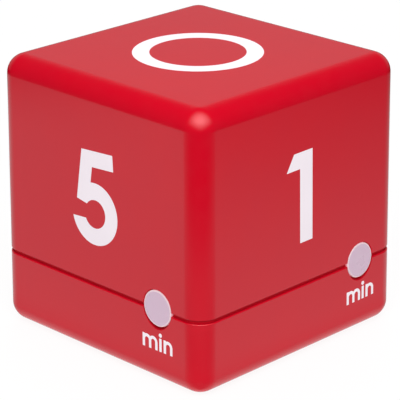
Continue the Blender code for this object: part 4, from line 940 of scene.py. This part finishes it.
def door():
    """A plate with two tabs on stems, a nail lip and three grip grooves."""
    half = DOORWAY_HALF - FIT
    edge = DOORWAY_EDGE - FIT
    low, high = WELL_FRONT - edge, WELL_BACK + edge
    plate = built(add_plate, (-half, low, DOOR_BOTTOM), (half, high, DOOR_TOP), 0.5, 0.2)
    tabs = bmesh.new()
    stems = bmesh.new()
    tab_end, stem_top = -WELL_HALF + CLOSE, 2.85
    for y in (CELL_FRONT, CELL_BACK):
        low, high = y - TAB_HALF, y + TAB_HALF
        add_block(tabs, (-DOORWAY_HALF - 1.0, low, TAB_BOTTOM), (tab_end, high, TAB_TOP))
        add_block(stems, (-half, low, DOOR_TOP - ROOT), (tab_end, high, stem_top))
    low, high = WELL_MIDDLE - 2.5, WELL_MIDDLE + 2.5
    lip = built(add_plate, (half - ROOT, low, 0.9), (half + LIP_REACH, high, DOOR_TOP), 0.4, 0.15)
    grooves = bmesh.new()
    low, high = WELL_MIDDLE - GRIP_LENGTH / 2, WELL_MIDDLE + GRIP_LENGTH / 2
    for step in range(3):
        x = half - 0.7 - GRIP_PITCH * (step + 1)
        first, second = (x - 0.4, low, DOOR_BOTTOM - OVERRUN), (x + 0.4, high, DOOR_BOTTOM + 0.5)
        add_plate(grooves, first, second, 0.39, 0.2)
    shape = carved(plate, [tabs, stems, lip], [grooves], ["red_case"])
    piece("door_plate", shape, "door", "red_case", ["battery_door"])


def screw(name, node, place, radius, length, head, height):
    """A pan head screw with a cross recess. Z points out of its head, and 0 is under the head."""
    root, crest, pitch = radius * 0.80, radius * 0.99, radius * 0.7
    profile = [(0, -length), (radius * 0.35, -length + 0.1)]
    z = -length + radius
    while z < -1.2:
        profile += [(root, z), (crest, z + pitch / 2)]
        z += pitch
    profile += [(root, z), (root, -0.5), (radius, -0.3), (radius, 0), (head * 0.97, 0), (head, 0.08)]
    rise = height * 0.55
    profile += [(head * cos(a), height - rise + rise * sin(a)) for a in quarter(ROUND_STEPS)[:-1]]
    profile.append((0, height))
    arm, width, depth = head * 0.55, head * 0.17, height * 0.62
    slots = []
    for number in range(2):
        cutter = bmesh.new()
        spin = place @ turn(90 * number + 45, "Z")
        rows = []
        for z, share in ((height - depth - NEAR * number, 0.45), (height + 0.2, 1.1)):
            x, y = arm * share, width * share
            corners = ((-x, -y), (x, -y), (x, y), (-x, y))
            rows.append([cutter.verts.new(spin @ Vector((*corner, z))) for corner in corners])
        add_loft(cutter, rows)
        slots.append(cutter)
    shape = carved(built(add_turned, profile, place, 64), [], slots, ["steel"])
    piece(name, shape, "case", "steel", [node])


def screws():
    """Sizes are the shank's radius and length, and the head's radius and height."""
    in_hole = at(z=HEAD_HOLE_DEPTH - CLOSE) @ turn(180, "X")
    on_board, on_display = at(z=BOARD_TOP + CLOSE), at(z=DISPLAY_BOARD_TOP + CLOSE)
    for name, node, spots, lift, sizes in (
        ("screw", "case_screw", CASE_SCREWS, in_hole, (1.3, 16.0, 2.4, 2.0)),
        ("small_screw", "board_screw", BOARD_SCREWS, on_board, (0.95, 6.5, 1.9, 1.3)),
        ("display_fixing", "display_screw", DISPLAY_SCREWS, on_display, (0.75, 4.5, 1.5, 1.0)),
    ):
        for spot, x, y in spots:
            screw(f"{name}_{spot}", f"{node}_{spot}", at(x, y) @ lift, *sizes)


def window():
    pane = display_plate(WINDOW_HALF, 0.2, 1.1, 0.9, 0.12)
    piece("clear_window", pane, "case", "display_window", ["display_window"])


def cells():
    """Two cells end to end with their contacts: a printed jacket, a crimped base and a raised cap."""
    label, metal, band = range(3)
    looks = ("cell_label", "nickel", "cell_band")
    parts = (
        (metal, ((0, 0.05), (2.6, 0.05), (2.9, 0.2), (4.3, 0.2))),
        (label, ((4.5, 0.05), (4.95, 0.1), (5.18, 0.3), (CELL_R, 0.55))),
        (band, ((CELL_R, 29.4),)),
        (label, ((CELL_R, 30.0),)),
        (band, ((CELL_R, 31.0), (CELL_R, 43.2), (5.12, 43.5), (4.65, 43.65))),
        (metal, ((4.4, 43.5), (2.6, 43.5), (2.2, 43.7), (1.88, 43.85))),
        (metal, ((1.85, 44.25), (1.65, 44.47), (0, CELL_LENGTH))),
    )
    profile = [point for _, points in parts for point in points]
    zones = [zone for zone, points in parts for _ in points]
    for name, y, direction in (("front", CELL_FRONT, -1), ("back", CELL_BACK, 1)):
        place = at(direction * (CELL_TIP - CELL_LENGTH), y, CELL_AXIS) @ turn(90 * direction, "Y")
        shape = built(add_turned, profile, place, 96, zones)
        piece(f"cell_body_{name}", shape, "case", "cell_label", [f"cell_{name}"], looks)


def springs():
    """Conical contact springs of round wire, wide at the contact and narrow at the cell."""
    turns, steps = 3, 36
    count = turns * steps + 1
    for name, y, direction in (("bridge", CELL_FRONT, 1), ("negative", CELL_BACK, -1)):
        curve = bpy.data.curves.new(f"spring_wire_{name}", "CURVE")
        curve.dimensions = "3D"
        curve.bevel_depth = SPRING_WIRE / 2 * MM
        curve.bevel_resolution = 4
        curve.use_fill_caps = True
        spline = curve.splines.new("POLY")
        spline.points.add(count - 1)
        for step, point in enumerate(spline.points):
            share = step / (count - 1)
            angle = 2 * pi * turns * share
            radius = SPRING_WIDE + (SPRING_NARROW - SPRING_WIDE) * share
            x = direction * (SPRING_BASE - SPRING_LENGTH * share)
            place = Vector((x, y - direction * radius * cos(angle), CELL_AXIS + radius * sin(angle)))
            point.co = (*(place * MM), 1.0)
        curve.materials.append(MATERIALS["steel"])
        obj = linked(f"spring_wire_{name}", curve)
        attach(obj, "case")
        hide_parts(f"spring_{name}")


def segments():
    """The faint segments of four digits and a colon on the resting display."""
    builder = bmesh.new()
    lean = Matrix(((1, 0.1, 0, 0), (0, 1, 0, 0), (0, 0, 1, 0), (0, 0, 0, 1)))
    place = at(DISPLAY_X, DISPLAY_Y, PANEL_BOTTOM) @ turn(180, "X") @ lean
    width, height, half_bar, gap, thickness = 2.6, 2.5, 0.27, 0.07, 0.03

    def bar(x, y, length, upright):
        end = length / 2 - gap
        side, half = end - half_bar, half_bar
        points = [(-end, 0), (-side, half), (side, half), (end, 0), (side, -half), (-side, -half)]
        if upright:
            points = [(-b, a) for a, b in points]
        add_outline(builder, [(x + a, y + b) for a, b in points], 0.0, thickness, place)

    for x in (-6.3, -2.75, 2.75, 6.3):
        for y in (-height, 0, height):
            bar(x, y, width, False)
        for sign, y in product((-1, 1), (-height / 2, height / 2)):
            bar(x + sign * width / 2, y, height, True)
    for y in (-1.1, 1.1):
        add_outline(builder, disc(0.3, (0, y)), 0.0, thickness, place)
    piece("display_segments", builder, "case", "display_glass", looks=["display_segment"])


def softened(node):
    """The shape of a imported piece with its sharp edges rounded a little."""
    source = frame["nodes"][node].data
    builder = bmesh.new()
    corners = [builder.verts.new(vertex.co / MM) for vertex in source.vertices]
    for polygon in source.polygons:
        builder.faces.new([corners[index] for index in polygon.vertices])
    bmesh.ops.remove_doubles(builder, verts=builder.verts, dist=0.0005)
    bmesh.ops.dissolve_limit(builder, angle_limit=radians(1), verts=builder.verts, edges=builder.edges)
    edges = [edge for edge in builder.edges if edge.is_manifold and edge.calc_face_angle() > radians(42)]
    shape = {"offset": 0.07, "segments": 2, "profile": 0.5}
    bmesh.ops.bevel(builder, geom=edges, affect="EDGES", clamp_overlap=True, **shape)
    return builder


def small_pieces():
    """Round and pressed pieces on the boards, with softened edges and smooth sides."""
    kinds = ("led_", "tilt_", "controller_blob", "capacitor", "crystal", "buzzer", "contact_")
    for part in frame["record"]["subparts"]:
        node, kind = part["node"], part["material_slot"]
        if node.startswith(kinds) and node != "buzzer_gasket":
            body = node.replace("tilt_ball", "ball") if node.startswith("tilt_ball") else "case"
            piece(f"fine_{node}", softened(node), body, kind, [node])


def dress_nodes():
    """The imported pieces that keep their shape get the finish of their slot."""
    for part in frame["record"]["subparts"]:
        obj = frame["nodes"][part["node"]]
        if obj.hide_render:
            continue
        for one in obj.material_slots:
            one.material = MATERIALS[part["material_slot"]]


# Stage, light and camera

CAMERA_PLACE = (0.310747, -0.311714, 0.197076)
CAMERA_TURN = (69.06723, 0.18397, 44.82065)
LENS_LENGTH = 188.01
TOWARDS_CAMERA = (0.7057, -0.7085, 0.0)
SOFTBOX = Vector((0.436, -0.357, 0.826)).normalized()
AMBIENT = 0.65
CUBE_MIDDLE = Vector((0, 0, 0.03))

# The floor's brightness, in gloss and to plain surfaces: two distances, then the level at each
GLOSS_BESIDE = (0.03, 0.22, 0.78, 0.30)
GLOSS_AHEAD = (0.09, 0.165, 0.38, 0.0)
GLOSS_CORNER = (0.05, 0.085, 0.55, 1.0)
GLOSS_FAR = (0.18, 0.28, 1.0, 0.05)
GLOSS_BEHIND = (-0.19, -0.13, 0.05, 1.0)
GLOSS_NEAR = (0.028, 0.046, 0.55, 1.0)
GLOSS_FOOT = (0.0325, 0.0365, 0.9, 0.5)
PLAIN_NEAR = (0.034, 0.062, 0.97, 0.60)
PLAIN_FOOT = (0.032, 0.038, 1.35, 0.6)
FRONT_CORNER = (0.0294, -0.0294, 0.0)
FLOOR_REACH = 1500
FLOOR_HOLE = 27.2

# The walls' brightness in gloss, by height and by direction, and the soft lamp's half width and height
WALL_HEIGHT = (0.34, 0.84, 0.325, 0.02)
WALL_SIDE = (-0.8, -0.25, 1.0, 0.02)
SOFTBOX_LEVEL = 4.75
SOFTBOX_WIDE = 1.15
SOFTBOX_HIGH = 1.10


def camera():
    data = bpy.data.cameras.new("camera")
    data.sensor_width = 36.0
    data.lens = LENS_LENGTH
    data.clip_start = 0.01
    data.clip_end = 20.0
    obj = linked("camera", data)
    rotation = Euler([radians(angle) for angle in CAMERA_TURN]).to_matrix().to_4x4()
    obj.matrix_world = at(*CAMERA_PLACE) @ rotation
    bpy.context.scene.camera = obj


def stage_object(name, builder, material):
    mesh = mesh_from(builder, name, outwards=False)
    mesh.transform(Matrix.Scale(MM, 4))
    material.cycles.emission_sampling = "NONE"
    mesh.materials.append(material)
    obj = linked(name, mesh)
    return obj


def glow(nodes, level):
    return nodes.add("Emission", Color=(1, 1, 1, 1), Strength=level).outputs[0]


def blend(nodes, *values):
    return nodes.fill(nodes.add("MixShader"), values).outputs[0]


def seen_directly(nodes, path):
    return nodes.math("MAXIMUM", path["Is Camera Ray"], path["Is Transmission Ray"])


def floor():
    """A pale floor with a hole under the cube, through which the underside gets its light."""
    builder = bmesh.new()
    rim, hole = [], []
    steps = 64
    for step in range(steps):
        angle = 2 * pi * (step + 0.5) / steps
        x, y = cos(angle), sin(angle)
        square = FLOOR_HOLE / max(abs(x), abs(y))
        rim.append(builder.verts.new((FLOOR_REACH * x, FLOOR_REACH * y, 0)))
        hole.append(builder.verts.new((square * x, square * y, 0)))
    join_rows(builder, rim, hole)
    material, nodes = new_material("paper_floor")
    nodes.finish(floor_shader(nodes))
    stage_object("floor", builder, material)


def floor_shader(nodes):
    """White to the camera, a soft gradient to gloss, and brighter near the cube to all else."""
    path = nodes.add("LightPath").outputs
    geometry = nodes.add("NewGeometry").outputs
    position = geometry["Position"]
    distance = nodes.length(position)
    along = nodes.dot(position, TOWARDS_CAMERA)
    across = nodes.dot(position, (-TOWARDS_CAMERA[1], TOWARDS_CAMERA[0], 0))
    beside = nodes.ramp(across, *GLOSS_BESIDE)
    ahead = nodes.math("MULTIPLY", nodes.ramp(distance, *GLOSS_AHEAD), nodes.ramp(along, *GLOSS_CORNER))
    offset = nodes.vector("SUBTRACT", position, FRONT_CORNER)
    reach = nodes.length(offset)
    facing = nodes.math("DIVIDE", nodes.dot(offset, TOWARDS_CAMERA), reach)
    share = nodes.math("POWER", nodes.ramp(facing, 0.0, 0.9), 0.45)
    level = nodes.math("MULTIPLY_ADD", share, nodes.math("SUBTRACT", ahead, beside), beside)
    far = nodes.math("MULTIPLY", nodes.ramp(distance, *GLOSS_FAR), nodes.ramp(along, *GLOSS_BEHIND))
    parts = nodes.add("SeparateXYZ", Vector=position).outputs
    square = nodes.math("MAXIMUM", *(nodes.math("ABSOLUTE", parts[axis]) for axis in ("X", "Y")))
    near = nodes.math("MAXIMUM", nodes.ramp(square, *GLOSS_NEAR), nodes.ramp(square, *GLOSS_FOOT))
    mirrored = glow(nodes, nodes.math("MULTIPLY", nodes.math("MULTIPLY", level, near), far))
    plain = nodes.math("MAXIMUM", nodes.ramp(square, *PLAIN_NEAR), nodes.ramp(square, *PLAIN_FOOT))
    pale = nodes.add("BsdfDiffuse", Color=(0.95, 0.95, 0.95, 1)).outputs[0]
    seen = blend(nodes, 0.08, glow(nodes, 1.0), pale)
    unseen = blend(nodes, path["Is Glossy Ray"], glow(nodes, plain), mirrored)
    shader = blend(nodes, seen_directly(nodes, path), unseen, seen)
    clear = nodes.add("BsdfTransparent").outputs[0]
    return blend(nodes, geometry["Backfacing"], shader, clear)


def studio():
    """What gloss shows: pale walls behind the cube, dark above, and a soft lamp over the camera."""
    builder = bmesh.new()
    bmesh.ops.create_icosphere(builder, subdivisions=5, radius=3000)
    material, nodes = new_material("studio_walls")
    position = nodes.add("NewGeometry").outputs["Position"]
    direction = nodes.vector("NORMALIZE", position)
    height = nodes.dot(direction, (0, 0, 1))
    towards = nodes.dot(direction, TOWARDS_CAMERA)
    walls = nodes.math("MULTIPLY", nodes.ramp(height, *WALL_HEIGHT), nodes.ramp(towards, *WALL_SIDE))
    ahead = nodes.dot(direction, SOFTBOX)
    across = SOFTBOX.cross(Vector((0, 0, 1))).normalized()
    squares = []
    for axis, half in ((across, SOFTBOX_WIDE), (across.cross(SOFTBOX), SOFTBOX_HIGH)):
        angle = nodes.math("ARCTAN2", nodes.dot(direction, axis), ahead)
        share = nodes.math("DIVIDE", angle, half)
        squares.append(nodes.math("MULTIPLY", share, share))
    spread = nodes.math("SQRT", nodes.math("ADD", *squares))
    level = nodes.math("ADD", walls, nodes.ramp(spread, 0.0, 1.0, SOFTBOX_LEVEL, 0.0))
    nodes.finish(glow(nodes, level))
    dome = stage_object("studio", builder, material)
    for ray in ("camera", "diffuse", "transmission", "volume_scatter", "shadow"):
        setattr(dome, f"visible_{ray}", False)


def world():
    """Plain light all round, and white behind the cube."""
    made = bpy.data.worlds.new("daylight")
    made.use_nodes = True
    bpy.context.scene.world = made
    nodes = Nodes(made.node_tree)
    white = seen_directly(nodes, nodes.add("LightPath").outputs)
    level = nodes.math("MULTIPLY_ADD", white, 1.0 - AMBIENT, AMBIENT)
    background = nodes.add("Background", Color=(1, 1, 1, 1), Strength=level)
    nodes.finish(background.outputs[0], "OutputWorld")
    made.cycles_visibility.glossy = False


def lamp(name, direction, reach, wide, high, energy):
    """A soft lamp that points at the middle of the cube and shows in no gloss."""
    data = bpy.data.lights.new(name, "AREA")
    data.shape = "RECTANGLE"
    data.size = wide
    data.size_y = high
    data.energy = energy
    obj = linked(name, data)
    away = Vector(direction).normalized()
    aim = away.to_track_quat("Z", "Y").to_matrix().to_4x4()
    obj.matrix_world = at(*(CUBE_MIDDLE + away * reach)) @ aim
    obj.visible_glossy = False
    obj.visible_camera = False


def main():
    pockets = bmesh.new()
    numerals(pockets)
    upper_shell(pockets)
    base_shell()
    unit_marks()
    lenses()
    door()
    screws()
    window()
    cells()
    springs()
    segments()
    small_pieces()
    dress_nodes()
    camera()
    floor()
    studio()
    world()
    lamp("softbox", (0.49, -0.475, 0.73), reach=0.4, wide=0.24, high=0.20, energy=1.10)
    lamp("fill", (-0.60, 0.60, 0.53), reach=0.8, wide=0.6, high=0.4, energy=2.05)
    lamp("fill_below", (0, 0, -1), reach=0.4, wide=0.3, high=0.3, energy=0.47)
    bpy.context.scene.view_settings.view_transform = "Standard"


main()
